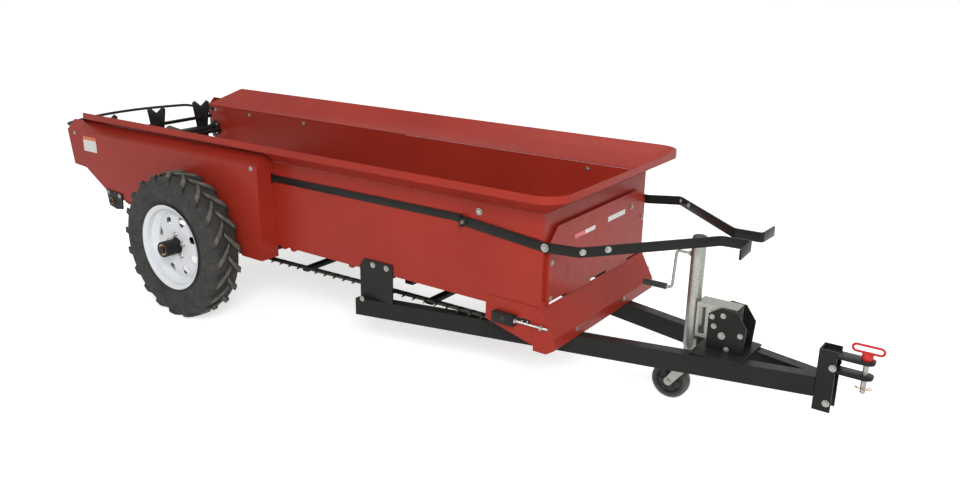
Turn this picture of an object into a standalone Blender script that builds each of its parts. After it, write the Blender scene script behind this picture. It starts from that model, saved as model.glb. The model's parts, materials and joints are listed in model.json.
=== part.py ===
# Compact ground-drive manure spreader, towed, with an A-frame tongue and a caster jack.
# Metres, +Z up, +X towards the hitch, +Y to the machine's left, the floor at z = 0.
# Sizes along X are measured from the wheel axle; FRAME_SHIFT then centres the machine.

import math

import bmesh
import bpy
from mathutils import Matrix, Vector

# Fits between pieces
SEAT = 0.0003           # two pieces that touch
PIN_FIT = 0.0005        # a pin or shaft in its hole
RUN = 0.008             # a moving piece beside a fixed one
OVERRUN = 0.02          # how far a cutter passes the piece that it cuts
WELD = 0.000001         # distance under which two mesh points are one

# Driving sizes of the hopper
HALF_WIDTH = 0.4245     # outer face of a side wall
WALL = 0.003
WALL_BOTTOM = 0.390
CREASE = 0.791          # where the walls flare out
FLARE_OUT = 0.1172      # how far the flare leans out
RIM_TOP = 0.890
LIP = 0.030             # band that hangs from the flare's edge
REAR = -1.048
FRONT = 1.894
REAR_CUT = 0.189        # how far the flare's rear corner is cut forward
CORNER_RADIUS = 0.085
CORNER_STEPS = 6
SHEET = 0.002

# Driving sizes of the running gear
TYRE_RADIUS = 0.354
LUG_HEIGHT = 0.016
TYRE_WIDTH = 0.155
RIM_RADIUS = 0.2085     # 15 inch wheel, over its flanges
RIM_WIDTH = 0.144
WHEEL_Y = 0.622
SPINDLE_RADIUS = 0.019

# Driving sizes of the tongue
TUBE_HIGH = 0.076
TUBE_WIDE = 0.050
TUBE_WALL = 0.005
TUBE_TOP = 0.262
TONGUE_REAR = 0.985
TONGUE_FRONT = 2.800
TONGUE_REAR_Y = 0.466   # outer face of a tube at its rear end
TONGUE_FRONT_Y = 0.040

# Driving sizes of the apron
PITCH = 0.0587
STRAND_Y = 0.345
STRAND_WIDE = 0.022
STRAND_HIGH = 0.012
REAR_SHAFT = (-0.690, 0.437)
FRONT_SHAFT = (1.740, 0.352)
SHAFT_RADIUS = 0.0125
SPROCKET_TEETH = 6
DECK = 0.018

# Driving sizes of the jack
JACK_X = 2.320
JACK_RADIUS = 0.027
JACK_TUBE_WALL = 0.003
JACK_BOTTOM = 0.240
JACK_TOP = 0.688
PIVOT_X = 2.458
PIVOT_Z = 0.334
CASTER_RADIUS = 0.075
CASTER_WIDE = 0.044
CASTER_TRAIL = 0.065

# Driving sizes of the beater
BEATER_X = -0.982
BEATER_Z = 0.654
BEATER_RADIUS = 0.182

# Ends of the whole machine, which set the middle of the frame
HOOP_RADIUS = 0.008
HOOP_BACK = -1.352      # centre line of the rear hoop at its middle
RING_FRONT = 3.007      # front of the hitch pin's ring
FRAME_SHIFT = -(HOOP_BACK - HOOP_RADIUS + RING_FRONT) / 2

# Worked out from the driving sizes
INNER = HALF_WIDTH - WALL
FLARE_Y = HALF_WIDTH + FLARE_OUT
FLARE_X = FRONT + FLARE_OUT
WALL_TOP = CREASE - WALL / 2 - SEAT
TUBE_BOTTOM = TUBE_TOP - TUBE_HIGH
SPROCKET_RADIUS = PITCH / 2 / math.sin(math.pi / SPROCKET_TEETH)

# Colours: red, green, blue, roughness, metallic
FINISH = {
    "powder_red": (0.36, 0.042, 0.030, 0.38, 0.0),
    "frame_black": (0.018, 0.018, 0.017, 0.42, 0.0),
    "zinc": (0.42, 0.43, 0.40, 0.38, 0.9),
    "wheel_white": (0.80, 0.81, 0.82, 0.35, 0.0),
    "rubber": (0.030, 0.029, 0.027, 0.85, 0.0),
    "pin_red": (0.62, 0.030, 0.022, 0.35, 0.0),
    "deck_wood": (0.21, 0.14, 0.08, 0.75, 0.0),
}


def clear_scene():
    for obj in list(bpy.data.objects):
        bpy.data.objects.remove(obj, do_unlink=True)


def collection(name):
    found = bpy.data.collections.get(name) or bpy.data.collections.new(name)
    if found.name not in bpy.context.scene.collection.children:
        bpy.context.scene.collection.children.link(found)
    return found


def finish(name, look):
    red, green, blue, roughness, metallic = FINISH[look]
    material = bpy.data.materials.new(name)
    material.use_nodes = True
    shader = material.node_tree.nodes["Principled BSDF"]
    shader.inputs["Base Color"].default_value = (red, green, blue, 1.0)
    shader.inputs["Roughness"].default_value = roughness
    shader.inputs["Metallic"].default_value = metallic
    material.diffuse_color = (red, green, blue, 1.0)
    return material


def empty(name, place, parent=None):
    obj = bpy.data.objects.new(name, None)
    collection("manure_spreader").objects.link(obj)
    obj.location = place
    obj.parent = parent
    return obj


def mesh_object(name, mesh, parent):
    obj = bpy.data.objects.new(name, mesh)
    collection("shapes").objects.link(obj)
    obj.parent = parent
    obj.hide_render = True
    obj.display_type = "WIRE"
    return obj


def keep(obj, name, look):
    """Makes a shape one of the machine's pieces."""
    collection("shapes").objects.unlink(obj)
    collection("manure_spreader").objects.link(obj)
    obj.hide_render = False
    obj.display_type = "TEXTURED"
    obj.name = name
    obj.data.name = name
    obj.data.materials.clear()
    obj.data.materials.append(finish(name, look))
    return obj


def boolean(obj, others, operation):
    for other in others:
        step = obj.modifiers.new(operation.lower(), "BOOLEAN")
        step.operation = operation
        step.solver = "EXACT"
        step.object = other
    return obj


def cut(obj, *others):
    return boolean(obj, others, "DIFFERENCE")


def join(obj, *others):
    return boolean(obj, others, "UNION")


def settle(obj):
    """Turns a curve or an object with modifiers into a plain mesh, with its seams welded."""
    bpy.context.view_layer.update()
    graph = bpy.context.evaluated_depsgraph_get()
    mesh = bpy.data.meshes.new_from_object(obj.evaluated_get(graph))
    shape = bmesh.new()
    shape.from_mesh(mesh)
    bmesh.ops.remove_doubles(shape, verts=shape.verts, dist=WELD)
    shape.to_mesh(mesh)
    shape.free()
    parent = obj.parent
    solid = mesh_object(obj.name + "_solid", mesh, parent)
    solid.matrix_basis = obj.matrix_basis.copy()
    bpy.data.objects.remove(obj, do_unlink=True)
    return solid


def flat(loops, thickness, parent):
    """An outline in XY, with the loops after the first as holes, of the given thickness."""
    curve = bpy.data.curves.new("outline", "CURVE")
    curve.dimensions = "2D"
    curve.fill_mode = "BOTH"
    curve.extrude = thickness / 2
    for loop in loops:
        spline = curve.splines.new("POLY")
        spline.points.add(len(loop) - 1)
        for point, (x, y) in zip(spline.points, loop):
            point.co = (x, y, 0.0, 1.0)
        spline.use_cyclic_u = True
    return settle(mesh_object("outline", curve, parent))


def plate_xz(loops, y, thickness, parent):
    obj = flat(loops, thickness, parent)
    obj.rotation_euler = (math.pi / 2, 0.0, 0.0)
    obj.location = (0.0, y, 0.0)
    return obj


def plate_yz(loops, x, thickness, parent):
    obj = flat(loops, thickness, parent)
    obj.rotation_euler = (math.pi / 2, 0.0, math.pi / 2)
    obj.location = (x, 0.0, 0.0)
    return obj


def plate_xy(loops, z, thickness, parent):
    obj = flat(loops, thickness, parent)
    obj.location = (0.0, 0.0, z)
    return obj


def block(low, high, parent):
    shape = bmesh.new()
    bmesh.ops.create_cube(shape, size=1.0)
    low = Vector(low)
    high = Vector(high)
    bmesh.ops.scale(shape, vec=high - low, verts=shape.verts)
    bmesh.ops.translate(shape, vec=(low + high) / 2, verts=shape.verts)
    mesh = bpy.data.meshes.new("block")
    shape.to_mesh(mesh)
    shape.free()
    return mesh_object("block", mesh, parent)


def cylinder(radius, start, end, parent, sides=20):
    """A round bar between two points."""
    start = Vector(start)
    end = Vector(end)
    shape = bmesh.new()
    bmesh.ops.create_cone(shape, cap_ends=True, segments=sides, radius1=radius, radius2=radius,
                          depth=(end - start).length)
    mesh = bpy.data.meshes.new("cylinder")
    shape.to_mesh(mesh)
    shape.free()
    obj = mesh_object("cylinder", mesh, parent)
    obj.rotation_mode = "QUATERNION"
    obj.rotation_quaternion = Vector((0.0, 0.0, 1.0)).rotation_difference(end - start)
    obj.location = (start + end) / 2
    return obj


def turned(profile, steps, parent, closed=True):
    """Turns (radius, height) points about local Z; the outer side runs from top to bottom."""
    mesh = bpy.data.meshes.new("profile")
    points = [(radius, 0.0, height) for radius, height in profile]
    edges = [(i, i + 1) for i in range(len(points) - 1)]
    if closed:
        edges.append((len(points) - 1, 0))
    mesh.from_pydata(points, edges, [])
    obj = mesh_object("turned", mesh, parent)
    screw = obj.modifiers.new("screw", "SCREW")
    screw.axis = "Z"
    screw.angle = math.tau
    screw.steps = steps
    screw.render_steps = steps
    screw.use_merge_vertices = True
    screw.merge_threshold = WELD
    screw.use_smooth_shade = True
    return settle(obj)


def rod(points, radius, parent, closed=False):
    """A round wire along the points."""
    curve = bpy.data.curves.new("wire", "CURVE")
    curve.dimensions = "3D"
    curve.bevel_depth = radius
    curve.bevel_resolution = 2
    curve.use_fill_caps = True
    spline = curve.splines.new("POLY")
    spline.points.add(len(points) - 1)
    for point, place in zip(spline.points, points):
        point.co = (*place, 1.0)
    spline.use_cyclic_u = closed
    return settle(mesh_object("wire", curve, parent))


def band(path, along, thickness, parent):
    """A bent plate: the path swept by the vector along, thickened about its middle."""
    shape = bmesh.new()
    points = [shape.verts.new(place) for place in path]
    edges = [shape.edges.new(pair) for pair in zip(points, points[1:])]
    swept = bmesh.ops.extrude_edge_only(shape, edges=edges)["geom"]
    moved = [item for item in swept if isinstance(item, bmesh.types.BMVert)]
    bmesh.ops.translate(shape, vec=Vector(along), verts=moved)
    bmesh.ops.recalc_face_normals(shape, faces=shape.faces)
    mesh = bpy.data.meshes.new("band")
    shape.to_mesh(mesh)
    shape.free()
    return thicken(mesh_object("band", mesh, parent), thickness)


def shell(points, faces, thickness, parent):
    """A folded sheet from its corners and its flat faces, thickened about its middle."""
    shape = bmesh.new()
    corners = [shape.verts.new(place) for place in points]
    for face in faces:
        shape.faces.new([corners[i] for i in face])
    bmesh.ops.recalc_face_normals(shape, faces=shape.faces)
    mesh = bpy.data.meshes.new("shell")
    shape.to_mesh(mesh)
    shape.free()
    return thicken(mesh_object("shell", mesh, parent), thickness)


def thicken(obj, thickness, even=True):
    solid = obj.modifiers.new("thickness", "SOLIDIFY")
    solid.thickness = thickness
    solid.offset = 0.0
    solid.use_even_offset = even
    return obj


def rectangle(low, high):
    return [(low[0], low[1]), (high[0], low[1]), (high[0], high[1]), (low[0], high[1])]


def circle(centre, radius, sides):
    turn = math.tau / sides
    return [(centre[0] + radius * math.cos(i * turn), centre[1] + radius * math.sin(i * turn))
            for i in range(sides)]


def arc(centre, radius, start, stop, steps):
    """Points on an arc, from one angle in degrees to another."""
    angles = [math.radians(start + (stop - start) * i / steps) for i in range(steps + 1)]
    return [(centre[0] + radius * math.cos(a), centre[1] + radius * math.sin(a)) for a in angles]


# The hopper

# The rear of a wall steps up behind the apron's shaft: x and z
WALL_REAR = ((-1.018, 0.600), (-0.900, 0.560), (-0.740, 0.400), (-0.710, WALL_BOTTOM))


def box_walls(frame):
    outline = [(REAR, WALL_TOP), *WALL_REAR, (FRONT, WALL_BOTTOM), (FRONT, WALL_TOP)]
    for side, hand in ((-1, "right"), (1, "left")):
        wall = plate_xz([outline], side * (HALF_WIDTH - WALL / 2), WALL, frame)
        hole = cylinder(SHAFT_RADIUS + PIN_FIT, (REAR_SHAFT[0], side * (INNER - OVERRUN), REAR_SHAFT[1]),
                        (REAR_SHAFT[0], side * (HALF_WIDTH + OVERRUN), REAR_SHAFT[1]), frame)
        keep(cut(wall, hole), f"box_wall_{hand}", "powder_red")


def rim_stations():
    """Inner crease, outer edge and lip of the flare, from the left rear round to the right rear."""
    half = HALF_WIDTH - WALL / 2
    nose = FRONT - WALL / 2
    side = [(REAR, half, REAR + REAR_CUT, FLARE_Y)]
    centre = (FLARE_X - CORNER_RADIUS, FLARE_Y - CORNER_RADIUS)
    for x, y in arc(centre, CORNER_RADIUS, 90, 0, CORNER_STEPS):
        side.append((nose, half, x, y))
    left = [((xi, yi, CREASE), (xo, yo, RIM_TOP), (xo, yo, RIM_TOP - LIP)) for xi, yi, xo, yo in side]
    right = [tuple((x, -y, z) for x, y, z in station) for station in reversed(left)]
    return left + right


def top_rim(frame):
    shape = bmesh.new()
    rows = [[shape.verts.new(place) for place in station] for station in rim_stations()]
    for before, after in zip(rows, rows[1:]):
        for i in range(2):
            shape.faces.new((before[i], after[i], after[i + 1], before[i + 1]))
    bmesh.ops.remove_doubles(shape, verts=shape.verts, dist=WELD)
    bmesh.ops.recalc_face_normals(shape, faces=shape.faces)
    mesh = bpy.data.meshes.new("rim")
    shape.to_mesh(mesh)
    shape.free()
    keep(thicken(mesh_object("rim", mesh, frame), WALL, even=False), "top_rim", "powder_red")


GUARD_BOTTOM = 0.428
GUARD_TOP = 0.732
GUARD_HALF = 0.400
GUARD_STAND = 0.013
GUARD_CLIP = 0.055      # size of its two cut top corners
GUARD_SLOT = 0.013      # height of the slots along its lower edge
GUARD_SLOTS = ((-0.391, -0.256), (-0.0675, 0.0675), (0.256, 0.391))     # ends along Y
FRONT_WALL_BOTTOM = 0.446


def front_walls(frame):
    half = INNER - SEAT
    wall = plate_yz([rectangle((-half, FRONT_WALL_BOTTOM), (half, WALL_TOP))], FRONT - WALL / 2, WALL, frame)
    keep(wall, "front_wall", "powder_red")
    back = FRONT + SEAT
    face = FRONT + GUARD_STAND
    path = [(back, -GUARD_HALF, GUARD_BOTTOM), (face, -GUARD_HALF, GUARD_BOTTOM),
            (face, GUARD_HALF, GUARD_BOTTOM), (back, GUARD_HALF, GUARD_BOTTOM)]
    guard = band(path, (0.0, 0.0, GUARD_TOP - GUARD_BOTTOM), WALL, frame)
    for side in (-1, 1):
        corner = [(side * (GUARD_HALF - GUARD_CLIP), GUARD_TOP),
                  (side * (GUARD_HALF + OVERRUN), GUARD_TOP - GUARD_CLIP - OVERRUN),
                  (side * (GUARD_HALF + OVERRUN), GUARD_TOP + OVERRUN),
                  (side * (GUARD_HALF - GUARD_CLIP), GUARD_TOP + OVERRUN)]
        cut(guard, plate_yz([corner], FRONT, 2 * (GUARD_STAND + OVERRUN), frame))
    for low, high in GUARD_SLOTS:
        cut(guard, block((FRONT, low, GUARD_BOTTOM - OVERRUN),
                         (FRONT + GUARD_STAND + OVERRUN, high, GUARD_BOTTOM + GUARD_SLOT), frame))
    keep(guard, "front_guard", "powder_red")


CHEEK_TOP = 0.424
CHEEK_REAR = 1.645
CHEEK_REAR_BOTTOM = 0.323
CHEEK_BOTTOM = 0.264
NOSE_TOP = 0.4235
NOSE_CREASE = 0.312
NOSE_BOTTOM = 0.266
NOSE_REACH = 0.063      # how far the nose stands out from the walls
NOSE_TUCK = 0.0035
FLANGE_REAR = 0.026     # how far its end flanges run back over the cheeks
FLANGE_TOP = 0.405
FLANGE_BOTTOM = 0.245


def front_nose(frame):
    cheek_y = HALF_WIDTH + SEAT + WALL / 2
    cheek_front = FRONT - SEAT
    cheek = [(CHEEK_REAR, CHEEK_TOP), (cheek_front, CHEEK_TOP), (cheek_front, CHEEK_BOTTOM),
             (cheek_front - FLANGE_REAR, CHEEK_BOTTOM), (CHEEK_REAR, CHEEK_REAR_BOTTOM)]
    slot_half = SHAFT_RADIUS + PIN_FIT
    slot = rectangle((FRONT_SHAFT[0] - TAKE_UP_REAR, FRONT_SHAFT[1] - slot_half),
                     (FRONT_SHAFT[0] + TAKE_UP_SLOT, FRONT_SHAFT[1] + slot_half))
    for side, hand in ((-1, "right"), (1, "left")):
        keep(plate_xz([cheek, slot], side * cheek_y, WALL, frame), f"cheek_{hand}", "powder_red")
    half = HALF_WIDTH + SEAT + WALL + SEAT + WALL / 2
    top = (FRONT + NOSE_TUCK, NOSE_TOP)
    crease = (FRONT + NOSE_REACH, NOSE_CREASE)
    bottom = (FRONT + NOSE_REACH, NOSE_BOTTOM)
    rear = FRONT - FLANGE_REAR
    flange = [(FRONT + NOSE_REACH / 2, FLANGE_BOTTOM), (rear, FLANGE_BOTTOM), (rear, FLANGE_TOP)]
    outline = [top, crease, bottom] + flange
    count = len(outline)
    points = [(x, side * half, z) for side in (-1, 1) for x, z in outline]
    faces = [(0, 1, 1 + count, count), (1, 2, 2 + count, 1 + count),
             tuple(range(count)), tuple(range(count, 2 * count))]
    keep(shell(points, faces, WALL, frame), "front_nose", "powder_red")


# The side shields over the drive

SHIELD_Y = 0.528
SHIELD_FRONT = 0.4625
SHIELD_TOP = 0.780
SHIELD_LEAN = 0.049     # how far the top flange runs in, and up
SHIELD_BOTTOM = 0.337
SHIELD_CLEAR = 0.004    # its end plates stay this far over the top flange's foot
# Its lower edge from the front, over the axle and up to the rear: x and z
SHIELD_LOW = ((SHIELD_FRONT, SHIELD_BOTTOM), (0.330, SHIELD_BOTTOM), (0.177, 0.440), (-0.588, 0.459),
              (-0.737, 0.484), (-0.909, 0.587), (-1.015, 0.594))


def shields(frame):
    face_y = SHIELD_Y - SHEET / 2
    wall_y = HALF_WIDTH + SEAT
    end_top = SHIELD_TOP + SHIELD_CLEAR
    rear_x, rear_z = SHIELD_LOW[-1]
    for side, hand in ((-1, "right"), (1, "left")):
        outer = [(REAR, SHIELD_TOP), (SHIELD_FRONT, SHIELD_TOP), *SHIELD_LOW]
        points = [(x, side * face_y, z) for x, z in outer]
        count = len(points)
        lean = (side * (face_y - SHIELD_LEAN), SHIELD_TOP + SHIELD_LEAN)
        points += [(REAR, *lean), (SHIELD_FRONT, *lean),
                   (SHIELD_FRONT, side * wall_y, end_top), (SHIELD_FRONT, side * wall_y, SHIELD_BOTTOM),
                   (REAR, side * wall_y, end_top), (rear_x, side * wall_y, rear_z)]
        faces = [tuple(range(count)), (0, 1, count + 1, count),
                 (1, 2, count + 3, count + 2, count + 1),
                 (0, count - 1, count + 5, count + 4, count)]
        shield = shell(points, faces, SHEET, frame)
        notch = block((SHIELD_FRONT - OVERRUN, -OVERRUN, STRAP_Z - STRAP_HIGH / 2 - RUN),
                      (SHIELD_FRONT + OVERRUN, OVERRUN, STRAP_Z + STRAP_HIGH / 2 + RUN), frame)
        notch.location = (0.0, side * wall_y, 0.0)
        keep(cut(shield, notch), f"side_shield_{hand}", "powder_red")


# The levers that engage the drive, and the straps that they pull

BAR_HIGH = 0.038
BAR_THICK = 0.008
STRAP_HIGH = 0.032
STRAP_THICK = 0.005
STRAP_Z = 0.712
STRAP_REAR = 0.300
STRAP_END = 1.530
TAB = 0.026
LEVER_REAR_Z = 0.704
# The bends of a lever that stand away from the wall: x, y and middle height
LEVER_BENDS = ((2.053, 0.444, 0.682), (2.424, 0.061, 0.702), (2.531, 0.059, 0.704), (2.534, 0.179, 0.701))
LEVER_PIVOT = (1.905, 0.668)    # x and z of the bolt at the box's front corner


def levers(frame):
    seat_y = HALF_WIDTH + SEAT + BAR_THICK / 2
    tab_x = STRAP_END + STRAP_THICK / 2 + SEAT + BAR_THICK / 2
    pivot_x, pivot_z = LEVER_PIVOT
    path = [(tab_x, seat_y + TAB, LEVER_REAR_Z), (tab_x, seat_y, LEVER_REAR_Z), (pivot_x, seat_y, pivot_z),
            *LEVER_BENDS]
    strap_y = HALF_WIDTH + SEAT + STRAP_THICK / 2
    strap = [(STRAP_REAR, strap_y), (STRAP_END, strap_y), (STRAP_END, strap_y + TAB)]
    for side, hand in ((-1, "right"), (1, "left")):
        points = [(x, side * y, z - BAR_HIGH / 2) for x, y, z in path]
        lever = band(points, (0.0, 0.0, BAR_HIGH), BAR_THICK, frame)
        keep(lever, f"lever_{hand}", "frame_black")
        points = [(x, side * y, STRAP_Z - STRAP_HIGH / 2) for x, y in strap]
        bar = band(points, (0.0, 0.0, STRAP_HIGH), STRAP_THICK, frame)
        keep(bar, f"strap_{hand}", "frame_black")


# The apron: deck, shafts with sprockets, and the chain with its slats

TAKE_UP_REAR = 0.050
TAKE_UP_SLOT = 0.110
SLAT_EVERY = 5          # links between two slats
SLAT_HIGH = 0.018
SLAT_WIDE = 0.028
WRAP_STEPS = 8          # straight pieces of the chain round a sprocket
REAR_WRAP = (255, 92)   # where the chain meets and leaves a sprocket, in degrees
FRONT_WRAP = (88, -82)
LINK_PIN = 0.0045       # radius of a link's pin
PIN_SIDES = 3
LINK_PIN_OUT = 0.006
UNDER_AXLE = 0.270      # height of the return run under the axle


def upper_run(x):
    """Height of the chain's middle line on top of the deck."""
    rear_top = REAR_SHAFT[1] + SPROCKET_RADIUS
    front_top = FRONT_SHAFT[1] + SPROCKET_RADIUS
    share = (x - REAR_SHAFT[0]) / (FRONT_SHAFT[0] - REAR_SHAFT[0])
    return rear_top + (front_top - rear_top) * share


def deck_top(x):
    return upper_run(x) - STRAND_HIGH / 2 - SEAT


# The return run hangs on its own weight and passes under the axle: x and z of its middle
RETURN_RUN = ((1.50, 0.291), (1.15, 0.288), (0.75, 0.281), (0.38, 0.274), (0.0, UNDER_AXLE), (-0.35, 0.302))
RETURN_SLATS = (1.30, 0.95, 0.56, 0.19, -0.18)


def chain_line(offset):
    """The chain's loop in XZ, moved outwards by the offset: round both sprockets and back."""
    radius = SPROCKET_RADIUS + offset
    loop = arc(REAR_SHAFT, radius, *REAR_WRAP, WRAP_STEPS)
    loop += arc(FRONT_SHAFT, radius, *FRONT_WRAP, WRAP_STEPS)
    return loop + [(x, z - offset) for x, z in RETURN_RUN]


def return_height(x):
    """Height of the returning chain's middle at x."""
    for (front, high), (rear, low) in zip(RETURN_RUN, RETURN_RUN[1:]):
        if rear <= x <= front:
            return low + (high - low) * (x - rear) / (front - rear)
    raise ValueError("x is outside the hanging run")


def deck(frame):
    rear = REAR_SHAFT[0] + SPROCKET_RADIUS + OVERRUN
    front = FRONT_SHAFT[0] - SPROCKET_RADIUS - OVERRUN
    outline = [(rear, deck_top(rear)), (front, deck_top(front)), (front, deck_top(front) - DECK),
               (rear, deck_top(rear) - DECK)]
    keep(plate_xz([outline], 0.0, 2 * (INNER - SEAT), frame), "floor_deck", "deck_wood")


def box_tube(wide, high, wall, length, parent):
    """A hollow bar along local Z."""
    outer = rectangle((-wide / 2, -high / 2), (wide / 2, high / 2))
    inner = rectangle((wall - wide / 2, wall - high / 2), (wide / 2 - wall, high / 2 - wall))
    return flat([outer, inner], length, parent)


MEMBER_WIDE = 0.040
MEMBER_HIGH = 0.030
MEMBER_WALL = 0.003
MEMBER_X = {"cross_member_rear": 0.560, "cross_member_mid": 1.250}


def cross_members(frame):
    for name, x in MEMBER_X.items():
        top = deck_top(x + MEMBER_WIDE / 2) - DECK - SEAT
        bar = box_tube(MEMBER_WIDE, MEMBER_HIGH, MEMBER_WALL, 2 * (INNER - SEAT), frame)
        bar.rotation_euler = (math.pi / 2, 0.0, 0.0)
        bar.location = (x, 0.0, top - MEMBER_HIGH / 2)
        keep(bar, name, "frame_black")
    bar = box_tube(MEMBER_WIDE, MEMBER_HIGH, MEMBER_WALL, 2 * tube_outer(FRONT), frame)
    bar.rotation_euler = (math.pi / 2, 0.0, 0.0)
    reach = FRONT + NOSE_REACH - WALL / 2 - SEAT
    bar.location = (reach - MEMBER_WIDE / 2, 0.0, TUBE_TOP + SEAT + MEMBER_HIGH / 2)
    keep(bar, "cross_member_front", "frame_black")


REAR_SHAFT_HALF = 0.548
FRONT_SHAFT_HALF = 0.4545


def shafts(frame):
    # name, place, half length
    rows = (("apron_shaft_rear", REAR_SHAFT, REAR_SHAFT_HALF),
            ("apron_shaft_front", FRONT_SHAFT, FRONT_SHAFT_HALF))
    for name, (x, z), half in rows:
        shaft = cylinder(SHAFT_RADIUS, (x, -half, z), (x, half, z), frame)
        for side in (-1, 1):
            inside = (SPROCKET_RADIUS - STRAND_HIGH / 2) * math.cos(math.pi / 2 / WRAP_STEPS)
            radius = inside - SEAT
            inner = side * (STRAND_Y - STRAND_WIDE / 2)
            outer = side * (STRAND_Y + STRAND_WIDE / 2)
            join(shaft, cylinder(radius, (x, inner, z), (x, outer, z), frame, sides=4 * SPROCKET_TEETH))
        keep(shaft, name, "frame_black")


BRACKET = 0.006
BORE_STEPS = 20
# The plate on the shield's outer face that carries the rear shaft: x and z
APRON_BRACKET = ((-0.735, 0.496), (-0.594, 0.487), (-0.600, 0.405), (-0.655, 0.397), (-0.715, 0.410))


def apron_brackets(frame):
    for side, hand in ((-1, "right"), (1, "left")):
        hole = circle(REAR_SHAFT, SHAFT_RADIUS + PIN_FIT, BORE_STEPS)
        y = SHIELD_Y + SEAT + BRACKET / 2
        keep(plate_xz([APRON_BRACKET, hole], side * y, BRACKET, frame), f"apron_bracket_{hand}", "frame_black")


BLOCK_HIGH = 0.044
BLOCK_THICK = 0.026
ROD_RADIUS = 0.005
ROD_FRONT = 1.936


def take_ups(frame):
    """The blocks that tighten the apron, each with its threaded rod."""
    inner = HALF_WIDTH + SEAT + WALL + SEAT
    x, z = FRONT_SHAFT
    rod_y = inner + BLOCK_THICK / 2
    for side, hand in ((-1, "right"), (1, "left")):
        outline = rectangle((x - TAKE_UP_REAR, z - BLOCK_HIGH / 2), (x + TAKE_UP_REAR, z + BLOCK_HIGH / 2))
        hole = circle(FRONT_SHAFT, SHAFT_RADIUS + PIN_FIT, BORE_STEPS)
        body = plate_xz([outline, hole], side * (inner + BLOCK_THICK / 2), BLOCK_THICK, frame)
        join(body, cylinder(ROD_RADIUS, (x + TAKE_UP_REAR - OVERRUN / 2, side * rod_y, z),
                            (ROD_FRONT, side * rod_y, z), frame, sides=12))
        keep(body, f"take_up_{hand}", "frame_black")


def apron_chain(frame):
    loops = [chain_line(STRAND_HIGH / 2), chain_line(-STRAND_HIGH / 2)]
    chain = plate_xz(loops, STRAND_Y, STRAND_WIDE, frame)
    join(chain, plate_xz(loops, -STRAND_Y, STRAND_WIDE, frame))
    start = REAR_SHAFT[0] + 2 * PITCH
    span = FRONT_SHAFT[0] - PITCH - start
    count = int(span / (SLAT_EVERY * PITCH)) + 1
    half = STRAND_Y + STRAND_WIDE / 4
    for i in range(count):
        x = start + i * SLAT_EVERY * PITCH
        z = upper_run(x)
        join(chain, block((x - SLAT_WIDE / 2, -half, z), (x + SLAT_WIDE / 2, half, z + SLAT_HIGH), frame))
    for x in RETURN_SLATS:
        z = return_height(x)
        join(chain, block((x - SLAT_WIDE / 2, -half, z - SLAT_HIGH), (x + SLAT_WIDE / 2, half, z), frame))
    # The pins of the links stick out on the run that shows
    shape = bmesh.new()
    for side in (-1, 1):
        inner, outer = side * STRAND_Y, side * (STRAND_Y + STRAND_WIDE / 2 + LINK_PIN_OUT)
        x = RETURN_RUN[0][0]
        while x > RETURN_RUN[-1][0]:
            ends = []
            for y in (inner, outer):
                loop = circle((x, return_height(x)), LINK_PIN, PIN_SIDES)
                ends.append([shape.verts.new((x, y, z)) for x, z in loop])
            for i in range(PIN_SIDES):
                j = (i + 1) % PIN_SIDES
                shape.faces.new((ends[0][i], ends[0][j], ends[1][j], ends[1][i]))
            shape.faces.new(ends[0])
            shape.faces.new(ends[1])
            x -= PITCH
    bmesh.ops.recalc_face_normals(shape, faces=shape.faces)
    mesh = bpy.data.meshes.new("link_pins")
    shape.to_mesh(mesh)
    shape.free()
    join(chain, mesh_object("link_pins", mesh, frame))
    keep(chain, "apron_chain", "frame_black")


# The axle and the wheels

BEAM = 0.050
BEAM_HALF = 0.530
HUB_END = 0.735
SPINDLE_PAST = 0.008    # how far the spindle stands out of the hub
AXLE_SPREAD = 0.080     # half width of an axle bracket at the box


def axle(frame):
    z = TYRE_RADIUS
    beam = block((-BEAM / 2, -BEAM_HALF, z - BEAM / 2), (BEAM / 2, BEAM_HALF, z + BEAM / 2), frame)
    for side in (-1, 1):
        join(beam, cylinder(SPINDLE_RADIUS, (0.0, side * (BEAM_HALF - OVERRUN), z),
                            (0.0, side * (HUB_END + SPINDLE_PAST), z), frame, sides=24))
    keep(beam, "axle_beam", "frame_black")
    seat = z + BEAM / 2 + SEAT
    top = deck_top(AXLE_SPREAD) - DECK - SEAT
    outline = [(-BEAM, seat), (BEAM, seat), (AXLE_SPREAD, WALL_BOTTOM), (AXLE_SPREAD, top),
               (-AXLE_SPREAD, top), (-AXLE_SPREAD, WALL_BOTTOM)]
    for side, hand in ((-1, "right"), (1, "left")):
        y = INNER - SEAT - BRACKET / 2
        keep(plate_xz([outline], side * y, BRACKET, frame), f"axle_bracket_{hand}", "frame_black")


BEAD_RADIUS = 0.192
DROP_RADIUS = 0.166
DISC_Y = 0.030          # the disc's outer face, out from the wheel's middle
HUB_RADIUS = 0.038
HUB_FLANGE = 0.068
CENTRE_HOLE = 0.042
HUB_PLATE = 0.008
HUB_BACK = -0.040
DISC = 0.005
WHEEL_STEPS = 32        # the rim and the tyre share their facets


# Section of the white wheel with its disc, as one loop: radius, distance out
RIM_SECTION = (
    (RIM_RADIUS, 0.072), (RIM_RADIUS, 0.0685), (BEAD_RADIUS, 0.060), (BEAD_RADIUS, 0.0355),
    (DROP_RADIUS, 0.018), (DROP_RADIUS, -0.018), (BEAD_RADIUS, -0.0355), (BEAD_RADIUS, -0.060),
    (RIM_RADIUS, -0.0685), (RIM_RADIUS, -0.072), (0.1885, -0.0635), (0.1885, -0.0355), (0.1625, -0.022),
    (0.1625, 0.002), (0.115, DISC_Y - DISC), (CENTRE_HOLE, DISC_Y - DISC), (CENTRE_HOLE, DISC_Y),
    (0.117, DISC_Y), (0.1625, 0.010), (0.1625, 0.022), (0.1885, 0.0355), (0.1885, 0.0635))


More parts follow.
